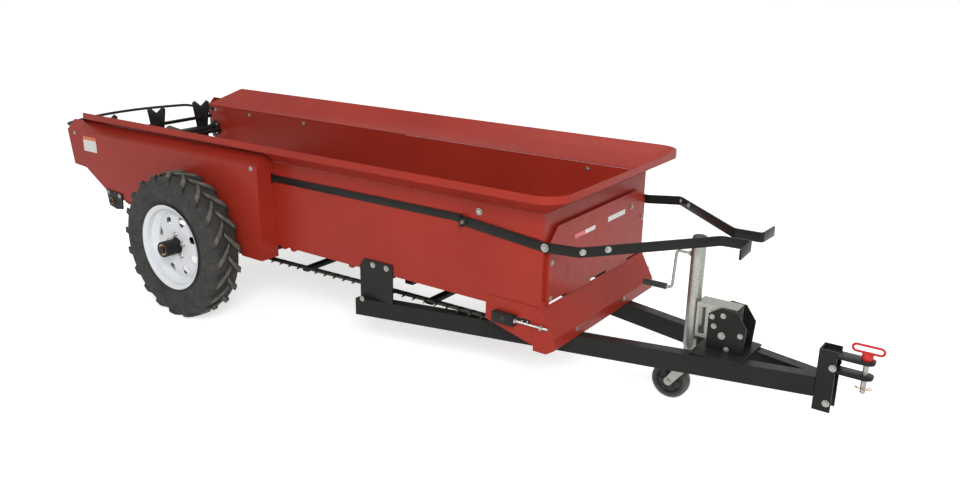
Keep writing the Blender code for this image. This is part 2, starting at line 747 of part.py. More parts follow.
LUGS = 20               # on each half of the tread
CROWN_HALF = 0.044      # half width of the tread's flat middle
LUG_WIDE = 0.024
LUG_PAST = 0.005        # how far a lug's inner end reaches past the middle
LUG_TURN = 0.25         # how far its outer end trails, in radians
LUG_DROP = 0.009        # and how much lower that end stands
LUG_SUNK = 0.006
SHOULDER_DROP = 0.016


# Half of a tyre's section, from the tread to the bead: radius, distance out
TYRE_SECTION = ((TYRE_RADIUS - LUG_HEIGHT, CROWN_HALF), (TYRE_RADIUS - LUG_HEIGHT - SHOULDER_DROP, 0.0745),
                (0.268, TYRE_WIDTH / 2), (0.2225, 0.0675), (BEAD_RADIUS + SEAT, 0.058))


def tyre_profile():
    left = [(radius, -y) for radius, y in TYRE_SECTION]
    return [*reversed(TYRE_SECTION), *left]


def lugs(sense, parent):
    """All lugs of a tyre: slanted bars from past the middle of the tread out over its shoulder."""
    tread = TYRE_RADIUS - LUG_HEIGHT
    pitch = math.tau / LUGS
    half_turn = LUG_WIDE / 2 / TYRE_RADIUS
    # A lug's flat top reaches the tyre's radius, so that it stands on the floor
    tip = TYRE_RADIUS / math.cos(half_turn)
    # One end of a lug: distance from the middle, turn back along the tread, radius of its top and foot
    ends = ((-LUG_PAST, 0.0, tip, tread - LUG_SUNK),
            (TYRE_WIDTH / 2 - LUG_PAST, LUG_TURN, tip - LUG_DROP, tread - SHOULDER_DROP - LUG_SUNK))
    shape = bmesh.new()
    for half in (-1, 1):
        for number in range(LUGS):
            start = pitch * (number + (half + 1) / 4)
            rings = []
            for out, turn, top, foot in ends:
                ring = []
                for radius, across in ((foot, -1), (foot, 1), (top, 1), (top, -1)):
                    angle = start - sense * turn + across * half_turn
                    ring.append(shape.verts.new((radius * math.cos(angle), radius * math.sin(angle),
                                                 half * out)))
                rings.append(ring)
            for i in range(len(ring)):
                j = (i + 1) % len(ring)
                shape.faces.new((rings[0][i], rings[0][j], rings[1][j], rings[1][i]))
            shape.faces.new(rings[0])
            shape.faces.new(rings[1])
    bmesh.ops.recalc_face_normals(shape, faces=shape.faces)
    mesh = bpy.data.meshes.new("lugs")
    shape.to_mesh(mesh)
    shape.free()
    return mesh_object("lugs", mesh, parent)


HAND_HOLES = 8
# Corners of a hand hole: radius, and half its angle in radians
HAND_HOLE = ((0.112, -0.085), (0.112, 0.085), (0.141, 0.120), (0.141, -0.120))


def hand_holes(parent):
    """Cutter for the trapezoid holes round the wheel's disc."""
    loops = []
    for number in range(HAND_HOLES):
        middle = math.tau * (number + 0.5) / HAND_HOLES
        loops.append([(radius * math.cos(middle + half), radius * math.sin(middle + half))
                      for radius, half in HAND_HOLE])
    cutter = flat(loops, 4 * OVERRUN, parent)
    cutter.location = (0.0, 0.0, DISC_Y - OVERRUN)
    return cutter


def wheels(frame):
    for side, hand in ((-1, "right"), (1, "left")):
        hub_empty = empty(f"axis_wheel_{hand}", (0.0, side * WHEEL_Y, TYRE_RADIUS), frame)
        # Local Z points outwards along the axle
        hub_empty.rotation_euler = (-side * math.pi / 2, 0.0, 0.0)
        rim = turned(RIM_SECTION, WHEEL_STEPS, hub_empty)
        keep(cut(rim, hand_holes(hub_empty)), f"wheel_rim_{hand}", "wheel_white")
        tyre = turned(tyre_profile(), WHEEL_STEPS, hub_empty)
        keep(join(tyre, lugs(-side, hub_empty)), f"tyre_{hand}", "rubber")
        inner = DISC_Y - DISC - SEAT
        bore = SPINDLE_RADIUS + PIN_FIT
        hub = turned([(HUB_RADIUS, HUB_END - WHEEL_Y), (HUB_RADIUS, inner), (HUB_FLANGE, inner),
                      (HUB_FLANGE, inner - HUB_PLATE), (HUB_RADIUS, inner - HUB_PLATE),
                      (HUB_RADIUS, HUB_BACK), (bore, HUB_BACK), (bore, HUB_END - WHEEL_Y)], 24, hub_empty)
        keep(hub, f"wheel_hub_{hand}", "frame_black")


# The beater at the rear, its bearings and the hoop behind it

BEATER_SHAFT = 0.015
BEATER_TUBE = 0.026
BEARING_RADIUS = 0.045
BEARING = 0.022
PADDLE = 0.006
BAR_SIDE = 0.018
BAR_PLACES = ((0.0, 0.080), (0.080, 0.0), (0.0, -0.080), (-0.080, 0.0))     # x and z of the bars' middles
# A paddle is a forked plate, wider at its tip: across and outwards
PADDLE_OUTLINE = ((-0.030, 0.0), (0.030, 0.0), (0.052, 0.169), (0.034, BEATER_RADIUS), (0.0, 0.149),
                  (-0.034, BEATER_RADIUS), (-0.052, 0.169))
# Place along the shaft, angle round it, twist of the plate, in degrees
PADDLE_ROWS = ((-0.320, 0, 28), (-0.160, 90, -28), (0.0, 0, 28), (0.160, 90, -28), (0.320, 0, 28),
               (-0.320, 180, 28), (-0.160, 270, -28), (0.0, 180, 28), (0.160, 270, -28), (0.320, 180, 28))
BEATER_END = 0.4192
BEARING_NOSE = 0.030    # radius of a bearing's face
BEARING_RIM = 0.012     # where its cone begins, out from the face


def beater(frame):
    axis = empty("axis_beater", (BEATER_X, 0.0, BEATER_Z), frame)
    body = INNER - BEARING - RUN
    rotor = cylinder(BEATER_SHAFT, (0.0, -BEATER_END, 0.0), (0.0, BEATER_END, 0.0), axis)
    join(rotor, cylinder(BEATER_TUBE, (0.0, -body, 0.0), (0.0, body, 0.0), axis, sides=16))
    for y, angle, twist in PADDLE_ROWS:
        paddle = flat([PADDLE_OUTLINE], PADDLE, axis)
        turn = Matrix.Rotation(math.radians(angle), 4, "Y") @ Matrix.Rotation(math.radians(90 + twist), 4, "Z")
        paddle.matrix_basis = Matrix.Translation((0.0, y, 0.0)) @ turn @ Matrix.Rotation(math.pi / 2, 4, "X")
        join(rotor, paddle)
    # Bars along the shaft tie the paddles together
    for x, z in BAR_PLACES:
        bar = block((x - BAR_SIDE / 2, -body, z - BAR_SIDE / 2), (x + BAR_SIDE / 2, body, z + BAR_SIDE / 2),
                    axis)
        join(rotor, bar)
    keep(rotor, "beater", "frame_black")
    for side, hand in ((-1, "right"), (1, "left")):
        low = INNER - BEARING
        high = INNER - SEAT
        ring = turned([(BEARING_RADIUS, high), (BEARING_RADIUS, low + BEARING_RIM), (BEARING_NOSE, low),
                       (BEATER_SHAFT + PIN_FIT, low), (BEATER_SHAFT + PIN_FIT, high)], 24, frame)
        ring.rotation_euler = (-side * math.pi / 2, 0.0, 0.0)
        ring.location = (BEATER_X, 0.0, BEATER_Z)
        keep(ring, f"beater_bearing_{hand}", "frame_black")


HOOP_Z = 0.770
HOOP_CORNER = -1.180
HOOP_FRONT = -0.988
HOOP_BEND = 0.040
HOOP_SHARES = (-0.9, -0.75, -0.5, -0.25, 0.0, 0.25, 0.5, 0.75, 0.9)     # of the way from the middle to a side


def rear_hoop(frame):
    y = INNER - SEAT - HOOP_RADIUS
    path = [(HOOP_FRONT, -y, HOOP_Z), (HOOP_CORNER + HOOP_BEND, -y, HOOP_Z)]
    path += [(HOOP_CORNER + (HOOP_BACK - HOOP_CORNER) * (1 - s * s), y * s, HOOP_Z) for s in HOOP_SHARES]
    path += [(HOOP_CORNER + HOOP_BEND, y, HOOP_Z), (HOOP_FRONT, y, HOOP_Z)]
    keep(rod(path, HOOP_RADIUS, frame), "rear_hoop", "frame_black")


# The tongue

def tube_outer(x):
    """Distance from the middle to a tongue tube's outer face."""
    share = (x - TONGUE_REAR) / (TONGUE_FRONT - TONGUE_REAR)
    return TONGUE_REAR_Y + (TONGUE_FRONT_Y - TONGUE_REAR_Y) * share


def tongue(frame):
    rise = math.atan2(TONGUE_REAR_Y - TONGUE_FRONT_Y, TONGUE_FRONT - TONGUE_REAR)
    middle_x = (TONGUE_REAR + TONGUE_FRONT) / 2
    middle_y = tube_outer(middle_x) - TUBE_WIDE / 2 / math.cos(rise)
    length = (TONGUE_FRONT - TONGUE_REAR) / math.cos(rise) + 2 * TUBE_WIDE
    low = TUBE_BOTTOM - OVERRUN
    high = TUBE_TOP + OVERRUN
    for side, hand in ((-1, "right"), (1, "left")):
        tube = box_tube(TUBE_HIGH, TUBE_WIDE, TUBE_WALL, length, frame)
        # Local Z along the tube and local X upwards
        along = Vector((math.cos(rise), -side * math.sin(rise), 0.0))
        up = Vector((0.0, 0.0, 1.0))
        across = along.cross(up)
        basis = Matrix((up, across, along)).transposed().to_4x4()
        tube.matrix_basis = Matrix.Translation((middle_x, side * middle_y, TUBE_TOP - TUBE_HIGH / 2)) @ basis
        far = TONGUE_REAR_Y + OVERRUN
        ends = [block((TONGUE_REAR - length, -far, low), (TONGUE_REAR, far, high), frame),
                block((TONGUE_FRONT - SEAT, -far, low), (TONGUE_FRONT + length, far, high), frame),
                block((TONGUE_REAR, min(-side * far, side * SEAT / 2), low),
                      (TONGUE_FRONT + OVERRUN, max(-side * far, side * SEAT / 2), high), frame)]
        keep(cut(tube, *ends), f"tongue_tube_{hand}", "frame_black")


HANGER_FRONT = 1.167
HANGER_TOP = 0.440
HANGER_CLIP = (0.024, 0.034)    # its cut rear corner, along and down


def hangers(frame):
    outline = [(TONGUE_REAR, TUBE_TOP + SEAT), (HANGER_FRONT, TUBE_TOP + SEAT), (HANGER_FRONT, HANGER_TOP),
               (TONGUE_REAR + HANGER_CLIP[0], HANGER_TOP), (TONGUE_REAR, HANGER_TOP - HANGER_CLIP[1])]
    for side, hand in ((-1, "right"), (1, "left")):
        y = HALF_WIDTH + SEAT + BRACKET / 2
        keep(plate_xz([outline], side * y, BRACKET, frame), f"hanger_plate_{hand}", "frame_black")


CHANNEL_HALF = 0.035
CHANNEL = 0.006
CHANNEL_DEEP = 0.062
CHANNEL_TOP = 0.371
CHANNEL_BOTTOM = 0.135
JAW = 0.012
JAW_TOP = 0.350
JAW_BOTTOM = 0.293
JAW_FRONT = 2.980
HITCH_PIN_X = 2.951
HITCH_PIN_RADIUS = 0.0095
HITCH_PIN_BOTTOM = 0.228
RING_WIRE = 0.0045
RING_HIGH = 0.034
HEAD_RADIUS = 0.019
HEAD_HIGH = 0.026
HEAD_ROUND = 0.006
PIN_TAPER = 0.004


def hitch(frame):
    web = TONGUE_FRONT + CHANNEL / 2
    tip = TONGUE_FRONT + CHANNEL_DEEP
    side_y = CHANNEL_HALF - CHANNEL / 2
    path = [(tip, -side_y, CHANNEL_BOTTOM), (web, -side_y, CHANNEL_BOTTOM), (web, side_y, CHANNEL_BOTTOM),
            (tip, side_y, CHANNEL_BOTTOM)]
    channel = band(path, (0.0, 0.0, CHANNEL_TOP - CHANNEL_BOTTOM), CHANNEL, frame)
    keep(channel, "hitch_channel", "frame_black")
    back = TONGUE_FRONT + CHANNEL + SEAT + JAW / 2
    half = CHANNEL_HALF - CHANNEL - SEAT
    path = [(JAW_FRONT, -half, JAW_TOP), (back, -half, JAW_TOP), (back, -half, JAW_BOTTOM),
            (JAW_FRONT, -half, JAW_BOTTOM)]
    clevis = band(path, (0.0, 2 * half, 0.0), JAW, frame)
    hole = cylinder(HITCH_PIN_RADIUS + PIN_FIT, (HITCH_PIN_X, 0.0, JAW_BOTTOM - JAW),
                    (HITCH_PIN_X, 0.0, JAW_TOP + JAW), frame)
    keep(cut(clevis, hole), "clevis", "frame_black")
    seat = JAW_TOP + JAW / 2 + SEAT
    head_top = seat + HEAD_HIGH
    pin = turned([(0.0, head_top), (HEAD_RADIUS - HEAD_ROUND, head_top), (HEAD_RADIUS, head_top - HEAD_ROUND),
                  (HEAD_RADIUS, seat), (HITCH_PIN_RADIUS, seat), (HITCH_PIN_RADIUS, HITCH_PIN_BOTTOM + PIN_TAPER),
                  (HITCH_PIN_RADIUS - PIN_TAPER, HITCH_PIN_BOTTOM), (0.0, HITCH_PIN_BOTTOM)], 20, frame,
                 closed=False)
    pin.location = (HITCH_PIN_X, 0.0, 0.0)
    bend = RING_HIGH / 2 - RING_WIRE
    reach = RING_FRONT - RING_WIRE - bend - HITCH_PIN_X
    ring_z = head_top + bend
    oval = [(x + HITCH_PIN_X, z) for x, z in arc((reach, ring_z), bend, -90, 90, 6)]
    oval += [(x + HITCH_PIN_X, z) for x, z in arc((-reach, ring_z), bend, 90, 270, 6)]
    ring = rod([(x, 0.0, z) for x, z in oval], RING_WIRE, frame, closed=True)
    keep(join(pin, ring), "hitch_pin", "pin_red")


# The jack: its mount, bracket, tube, crank, leg, fork and caster wheel

EAR_Y = 0.050
EAR = 0.006
BASE = 0.008
PIVOT_PIN = 0.008
CHEEK_Y = 0.036
ZINC = 0.003
MOUNT_REAR = 2.367
MOUNT_FRONT = 2.560
MOUNT_INSET = 0.010     # how far its base stays in from the tubes' outer faces
MOUNT_CLIP = 0.024
# An ear beside the pivot, above the base: x and z
EAR_TOP = ((2.546, 0.380), (2.506, 0.436), (2.448, 0.440), (2.400, 0.410))
EAR_FRONT = 2.538
EAR_REAR = 2.400


def jack_mount(frame):
    low = TUBE_TOP + SEAT
    half = tube_outer(MOUNT_REAR) - MOUNT_INSET
    outline = [(MOUNT_REAR, -half), (MOUNT_FRONT, MOUNT_CLIP - half), (MOUNT_FRONT, half - MOUNT_CLIP),
               (MOUNT_REAR, half)]
    mount = plate_xy([outline], low + BASE / 2, BASE, frame)
    ear = [(EAR_REAR, low + BASE / 2), (EAR_FRONT, low + BASE / 2), *EAR_TOP]
    for side in (-1, 1):
        join(mount, plate_xz([ear], side * EAR_Y, EAR, frame))
    reach = EAR_Y + EAR
    join(mount, cylinder(PIVOT_PIN, (PIVOT_X, -reach, PIVOT_Z), (PIVOT_X, reach, PIVOT_Z), frame))
    keep(mount, "jack_mount", "frame_black")


BRACKET_FRONT = 2.500
BRACKET_LOW = 0.300
BRACKET_HIGH = 0.440
WINDOW = (0.010, 0.034, 0.016)      # of the bracket: its rear and front from the web, and its edge above and below
TUBE_CAP = 0.006
CRANK_Z = 0.612
CRANK_ARM = 0.085       # how far behind the tube the arm goes down
CRANK_BEND = 0.010
CRANK_WIRE = 0.006
CRANK_SIDE = -0.020
GRIP_Z = 0.465
GRIP_RADIUS = 0.0125
GRIP_START = 0.022      # both ends of the grip, from the arm
GRIP_END = 0.118
CAP_EDGE = 0.004
TUBE_STEPS = 28


def jack(frame):
    swing = empty("axis_jack_swing", (PIVOT_X, 0.0, PIVOT_Z), frame)
    upper = empty("jack_upper", (-PIVOT_X, 0.0, -PIVOT_Z), swing)
    web = JACK_X + JACK_RADIUS + SEAT + ZINC / 2
    path = [(BRACKET_FRONT, -CHEEK_Y, BRACKET_LOW), (web, -CHEEK_Y, BRACKET_LOW), (web, CHEEK_Y, BRACKET_LOW),
            (BRACKET_FRONT, CHEEK_Y, BRACKET_LOW)]
    bracket = band(path, (0.0, 0.0, BRACKET_HIGH - BRACKET_LOW), ZINC, upper)
    join(bracket, block((web, -CHEEK_Y, BRACKET_HIGH - ZINC), (BRACKET_FRONT, CHEEK_Y, BRACKET_HIGH), upper))
    near, far, edge = WINDOW
    cut(bracket, cylinder(PIVOT_PIN + PIN_FIT, (PIVOT_X, -EAR_Y, PIVOT_Z), (PIVOT_X, EAR_Y, PIVOT_Z), upper),
        block((web + near, -EAR_Y, BRACKET_LOW + edge), (web + far, EAR_Y, BRACKET_HIGH - edge), upper))
    keep(bracket, "jack_bracket", "zinc")
    bore = JACK_RADIUS - JACK_TUBE_WALL
    cap = JACK_TOP - TUBE_CAP
    tube = turned([(0.0, JACK_TOP), (JACK_RADIUS - CAP_EDGE, JACK_TOP), (JACK_RADIUS, JACK_TOP - CAP_EDGE),
                   (JACK_RADIUS, JACK_BOTTOM), (bore, JACK_BOTTOM), (bore, cap), (0.0, cap)], TUBE_STEPS,
                  upper, closed=False)
    tube.location = (JACK_X, 0.0, 0.0)
    keep(tube, "jack_tube", "zinc")
    arm_x = JACK_X - CRANK_ARM
    path = [(JACK_X - JACK_RADIUS - SEAT, 0.0, CRANK_Z), (arm_x + CRANK_BEND, 0.0, CRANK_Z),
            (arm_x, 0.0, CRANK_Z - CRANK_BEND), (arm_x, CRANK_SIDE, GRIP_Z + CRANK_BEND),
            (arm_x - CRANK_BEND, CRANK_SIDE, GRIP_Z), (arm_x - 3 * CRANK_BEND, CRANK_SIDE, GRIP_Z)]
    crank = rod(path, CRANK_WIRE, upper)
    join(crank, cylinder(GRIP_RADIUS, (arm_x - GRIP_START, CRANK_SIDE, GRIP_Z),
                         (arm_x - GRIP_END, CRANK_SIDE, GRIP_Z), upper, sides=16))
    keep(crank, "jack_crank", "zinc")
    leg_empty = empty("axis_jack_leg", (JACK_X, 0.0, 0.0), upper)
    leg_out = bore - PIN_FIT
    leg_in = leg_out - JACK_TUBE_WALL
    leg = turned([(leg_out, LEG_TOP), (leg_out, LEG_BOTTOM), (leg_in, LEG_BOTTOM), (leg_in, LEG_TOP)],
                 TUBE_STEPS, leg_empty)
    keep(leg, "jack_leg", "zinc")
    caster(leg_empty, leg_in)


LEG_TOP = 0.450
FORK_TOP = 0.166
LEG_BOTTOM = FORK_TOP + PIN_FIT
FORK_PLATE = 0.006
FORK_Y = 0.030
FORK_SHEET = 0.004
FORK_DISC = 0.044
KING_PIN = 0.012
CASTER_AXLE = 0.007
FORK_EYE = 0.018
FORK_FRONT = 0.024      # the fork legs' ends on the plate, along X
FORK_REAR = -0.027
CASTER_STEPS = 24
CASTER_EDGE = 0.005
# Half of the caster wheel's dished side, from its tread in: radius, distance out
CASTER_SIDE = ((0.052, CASTER_WIDE / 2), (0.048, 0.011), (0.020, 0.011), (0.016, CASTER_WIDE / 2),
               (CASTER_AXLE + PIN_FIT, CASTER_WIDE / 2))


def caster(parent, leg_in):
    swivel = empty("axis_caster_swivel", (0.0, 0.0, 0.0), parent)
    low = FORK_TOP - FORK_PLATE
    middle = low + FORK_PLATE / 2
    fork = plate_xy([circle((0.0, 0.0), FORK_DISC, 24)], middle, FORK_PLATE, swivel)
    pin = min(KING_PIN, leg_in - PIN_FIT)
    join(fork, cylinder(pin, (0.0, 0.0, middle), (0.0, 0.0, LEG_BOTTOM + 2 * OVERRUN), swivel))
    # A fork leg: x and z, from the plate down round the wheel's axle
    ring = arc((-CASTER_TRAIL, CASTER_RADIUS), FORK_EYE, -60, -240, 6)
    cheek = [(FORK_FRONT, middle)] + ring + [(FORK_REAR, middle)]
    for side in (-1, 1):
        join(fork, plate_xz([cheek], side * FORK_Y, FORK_SHEET, swivel))
    reach = FORK_Y + FORK_SHEET
    join(fork, cylinder(CASTER_AXLE, (-CASTER_TRAIL, -reach, CASTER_RADIUS),
                        (-CASTER_TRAIL, reach, CASTER_RADIUS), swivel, sides=16))
    keep(fork, "caster_fork", "zinc")
    spin = empty("axis_caster_wheel", (-CASTER_TRAIL, 0.0, CASTER_RADIUS), swivel)
    spin.rotation_euler = (math.pi / 2, 0.0, 0.0)
    wide = CASTER_WIDE / 2
    tread = [(CASTER_RADIUS - CASTER_EDGE, wide), (CASTER_RADIUS, wide - CASTER_EDGE),
             (CASTER_RADIUS, CASTER_EDGE - wide), (CASTER_RADIUS - CASTER_EDGE, -wide)]
    side = [(radius, -y) for radius, y in CASTER_SIDE]
    wheel = turned([*tread, *side, *reversed(CASTER_SIDE)], CASTER_STEPS, spin)
    keep(wheel, "caster_wheel", "rubber")


def build():
    clear_scene()
    frame = empty("manure_spreader_frame", (FRAME_SHIFT, 0.0, 0.0))
    box_walls(frame)
    top_rim(frame)
    front_walls(frame)
    front_nose(frame)
    shields(frame)
    levers(frame)
    deck(frame)
    cross_members(frame)
    shafts(frame)
    apron_brackets(frame)
    take_ups(frame)
    apron_chain(frame)
    axle(frame)
    wheels(frame)
    beater(frame)
    rear_hoop(frame)
    tongue(frame)
    hangers(frame)
    hitch(frame)
    jack_mount(frame)
    jack(frame)


build()
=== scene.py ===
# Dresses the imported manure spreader: finishes, finely faceted round pieces, chain, lugs and bolts.
# Metres, +Z up, +X towards the hitch, the floor at z = 0. The tables measure x from the axle.

import math

import bmesh
import bpy
from mathutils import Matrix, Vector
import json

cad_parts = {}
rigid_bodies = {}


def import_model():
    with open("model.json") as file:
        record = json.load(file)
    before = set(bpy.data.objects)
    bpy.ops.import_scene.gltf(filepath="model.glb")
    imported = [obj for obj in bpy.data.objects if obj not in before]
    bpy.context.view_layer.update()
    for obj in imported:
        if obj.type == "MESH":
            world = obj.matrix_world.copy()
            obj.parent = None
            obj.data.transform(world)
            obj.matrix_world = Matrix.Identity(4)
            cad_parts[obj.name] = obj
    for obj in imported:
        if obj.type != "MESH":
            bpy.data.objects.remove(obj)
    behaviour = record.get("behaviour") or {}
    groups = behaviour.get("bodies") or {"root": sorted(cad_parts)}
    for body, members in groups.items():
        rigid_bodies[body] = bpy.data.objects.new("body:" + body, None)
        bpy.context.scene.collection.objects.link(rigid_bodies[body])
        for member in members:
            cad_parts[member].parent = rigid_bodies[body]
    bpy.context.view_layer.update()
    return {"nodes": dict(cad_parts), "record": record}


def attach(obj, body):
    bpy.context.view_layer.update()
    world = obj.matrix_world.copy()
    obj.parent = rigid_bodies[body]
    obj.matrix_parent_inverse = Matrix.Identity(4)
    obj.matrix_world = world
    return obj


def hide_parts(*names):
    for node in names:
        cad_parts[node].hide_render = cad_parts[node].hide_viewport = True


for leftover in list(bpy.data.objects):
    bpy.data.objects.remove(leftover)
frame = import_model()

AXLE = Vector((-0.8235, 0.0, 0.0))      # where the tables' origin lies in the frame
SIDES = ((-1, "right"), (1, "left"))
STAND = Matrix.Rotation(math.pi / 2, 4, "X")    # stands an outline up in x and z, depth along -Y

# Sizes shared with the solids
GAP = 0.0003            # between pieces that touch
MERGE = 1e-6            # points closer than this become one
HALF_WIDTH = 0.4245     # of the box, over its walls
WALL = 0.003
REAR = -1.048
FRONT = 1.894
CREASE = 0.791          # height at which the walls turn out into the flare
FLARE = 0.1172
RIM_TOP = 0.890
LIP = 0.030
REAR_CUT = 0.189        # how far the flare's rear corner is cut forward
CORNER_RADIUS = 0.105
GUARD_FACE = 1.9085
SHIELD_FACE = 0.5285
WHEEL_Y = 0.622
TYRE_RADIUS = 0.354
RIM_RADIUS = 0.2085
DISC_Y = 0.030          # outer face of a wheel's disc, out from WHEEL_Y
HUB_END = 0.735
PITCH = 0.0587          # of the apron's chain
STRAND_Y = 0.345
REAR_SHAFT = (-0.690, 0.437)
FRONT_SHAFT = (1.740, 0.352)
SHAFT_RADIUS = 0.0125
TEETH = 6
SPROCKET_RADIUS = PITCH / 2 / math.sin(math.pi / TEETH)
BEATER = (-0.982, 0.654)
JACK_X = 2.320
JACK_RADIUS = 0.027
CASTER = (2.255, 0.075)
HITCH_X = 2.951


def node(tree, kind, inputs=None, **settings):
    """A node with its settings, and each given input's value or the output that feeds it."""
    made = tree.nodes.new(kind)
    for name, value in settings.items():
        setattr(made, name, value)
    for socket, value in (inputs or {}).items():
        if isinstance(value, bpy.types.NodeSocket):
            tree.links.new(value, made.inputs[socket])
        else:
            made.inputs[socket].default_value = value
    return made


def calculation(tree, operation, first, second):
    made = node(tree, "ShaderNodeMath", {0: first, 1: second}, operation=operation)
    return made.outputs[0]


# Finishes

class Finish:
    """A material of the scene, with short calls for the nodes that it is made of."""

    def __init__(self, name, colour, roughness, metallic=0.0, coat=0.0, specular=0.38):
        self.material = bpy.data.materials.new(name)
        self.material.use_nodes = True
        self.material.diffuse_color = (*colour, 1.0)
        self.tree = self.material.node_tree
        self.shader = self.tree.nodes["Principled BSDF"]
        for socket, value in (("Base Color", (*colour, 1.0)), ("Roughness", roughness),
                              ("Metallic", metallic), ("Coat Weight", coat),
                              ("Coat Roughness", 0.18), ("Specular IOR Level", specular)):
            self.shader.inputs[socket].default_value = value
        self.coords = self.node("ShaderNodeTexCoord").outputs

    def node(self, kind, inputs=None, **settings):
        return node(self.tree, kind, inputs, **settings)

    def noise(self, scale, detail, stretch=(1.0, 1.0, 1.0), roughness=0.5):
        place = self.node("ShaderNodeMapping", {"Vector": self.coords["Object"], "Scale": stretch})
        made = self.node("ShaderNodeTexNoise", {"Vector": place.outputs["Vector"], "Scale": scale,
                                                "Detail": detail, "Roughness": roughness})
        return made.outputs["Fac"]

    def spread(self, value, low, high, start=0.35, stop=0.65):
        """A value that runs from start to stop, made to run from low to high."""
        made = self.node("ShaderNodeMapRange", {"Value": value, "From Min": start,
                                                "From Max": stop, "To Min": low, "To Max": high})
        return made.outputs["Result"]

    def patches(self, scale, detail, low=0.0, high=1.0):
        return self.spread(self.noise(scale, detail), low, high)

    def mix(self, share, *colours):
        first, second = [(*each, 1.0) if isinstance(each, tuple) else each for each in colours]
        made = self.node("ShaderNodeMix", {0: share, 6: first, 7: second}, data_type="RGBA")
        return made.outputs[2]

    def math(self, operation, first, second=0.0):
        return calculation(self.tree, operation, first, second)

    def parts(self, coordinate="Object"):
        return self.node("ShaderNodeSeparateXYZ", {0: self.coords[coordinate]}).outputs

    def upward(self):
        """1 where a face looks up, 0 where it stands or looks down."""
        return self.spread(self.parts("Normal")["Z"], 0.0, 1.0, 0.3, 0.95)

    def from_axis(self, x, z):
        """Distance from an axis along Y."""
        parts, squares = self.parts(), []
        for part, middle in ((parts["X"], x), (parts["Z"], z)):
            away = self.math("SUBTRACT", part, middle)
            squares.append(self.math("MULTIPLY", away, away))
        return self.math("SQRT", self.math("ADD", *squares))

    def surface(self, colour, roughness, height, strength, distance, rounding=0.0):
        """Links colour, roughness and relief, with sharp edges softened by rounding."""
        relief = {"Height": height, "Strength": strength, "Distance": distance}
        if rounding:
            edge = self.node("ShaderNodeBevel", {"Radius": rounding}, samples=4)
            relief["Normal"] = edge.outputs["Normal"]
        normal = self.node("ShaderNodeBump", relief).outputs["Normal"]
        for socket, value in (("Base Color", colour), ("Roughness", roughness),
                              ("Normal", normal)):
            self.tree.links.new(value, self.shader.inputs[socket])
        return self.material


def powder_coat(name, colour, shade, roughness, coat=0.25, dust=None):
    """Baked powder paint: faint unevenness, orange peel, soft edges, dust on what looks up."""
    made = Finish(name, colour, roughness, coat=coat, specular=0.15)
    paint = made.mix(made.patches(2.3, 4.0), colour, shade)
    if dust:
        film = made.math("MULTIPLY", made.upward(), made.patches(9.0, 5.0, 0.25, 0.9))
        paint = made.mix(film, paint, dust)
    return made.surface(paint, made.patches(31.0, 4.0, roughness - 0.05, roughness + 0.07),
                        made.noise(620.0, 2.0), 0.10, 0.0004, 0.0016)


def zinc_plate():
    """Zinc with its spangle of small cells."""
    made = Finish("zinc_plate", (0.46, 0.47, 0.43), 0.36, metallic=0.85)
    cells = made.node("ShaderNodeTexVoronoi", {"Vector": made.coords["Object"], "Scale": 140.0})
    tone = made.spread(cells.outputs["Distance"], 0.0, 1.0, 0.0, 0.7)
    return made.surface(made.mix(tone, (0.40, 0.41, 0.38), (0.30, 0.30, 0.27)),
                        made.patches(45.0, 4.0, 0.30, 0.46),
                        made.noise(260.0, 3.0), 0.08, 0.0005, 0.0010)


def plain_metal(name, colour, shade, roughness):
    made = Finish(name, colour, roughness, metallic=0.9)
    return made.surface(made.mix(made.patches(90.0, 4.0), colour, shade),
                        made.patches(153.0, 3.0, roughness - 0.07, roughness + 0.10),
                        made.noise(450.0, 2.0), 0.10, 0.0004, 0.0006)


def plastic(name, colour, shade, roughness):
    made = Finish(name, colour, roughness)
    return made.surface(made.mix(made.patches(24.0, 3.0), colour, shade),
                        made.patches(70.0, 3.0, roughness - 0.06, roughness + 0.08),
                        made.noise(700.0, 2.0), 0.06, 0.0003, 0.0006)


def tyre_rubber():
    """Dark carcass with paler, rubbed lug tops, told apart by the distance from the axle."""
    made = Finish("tyre_rubber", (0.030, 0.030, 0.028), 0.74)
    worn = made.spread(made.from_axis(AXLE.x, TYRE_RADIUS), 0.0, 1.0,
                       TYRE_RADIUS - 0.0060, TYRE_RADIUS - 0.0035)
    worn = made.math("MULTIPLY", worn, made.patches(38.0, 5.0, 0.35, 1.0))
    side = made.mix(made.patches(14.0, 5.0), (0.021, 0.021, 0.020), (0.040, 0.039, 0.036))
    return made.surface(made.mix(worn, side, (0.145, 0.138, 0.112)),
                        made.patches(60.0, 4.0, 0.62, 0.86), made.noise(480.0, 4.0), 0.22, 0.0006)


def caster_rubber():
    """Dark wheel with a paler tread from 62 mm out."""
    made = Finish("caster_rubber", (0.022, 0.022, 0.021), 0.55)
    tread = made.spread(made.from_axis(CASTER[0] + AXLE.x, CASTER[1]), 0.0, 1.0, 0.062, 0.064)
    tone = made.mix(made.patches(50.0, 4.0), (0.016, 0.016, 0.015), (0.030, 0.030, 0.028))
    return made.surface(made.mix(tread, tone, (0.085, 0.085, 0.080)),
                        made.patches(80.0, 3.0, 0.45, 0.68),
                        made.noise(420.0, 3.0), 0.12, 0.0004, 0.0010)


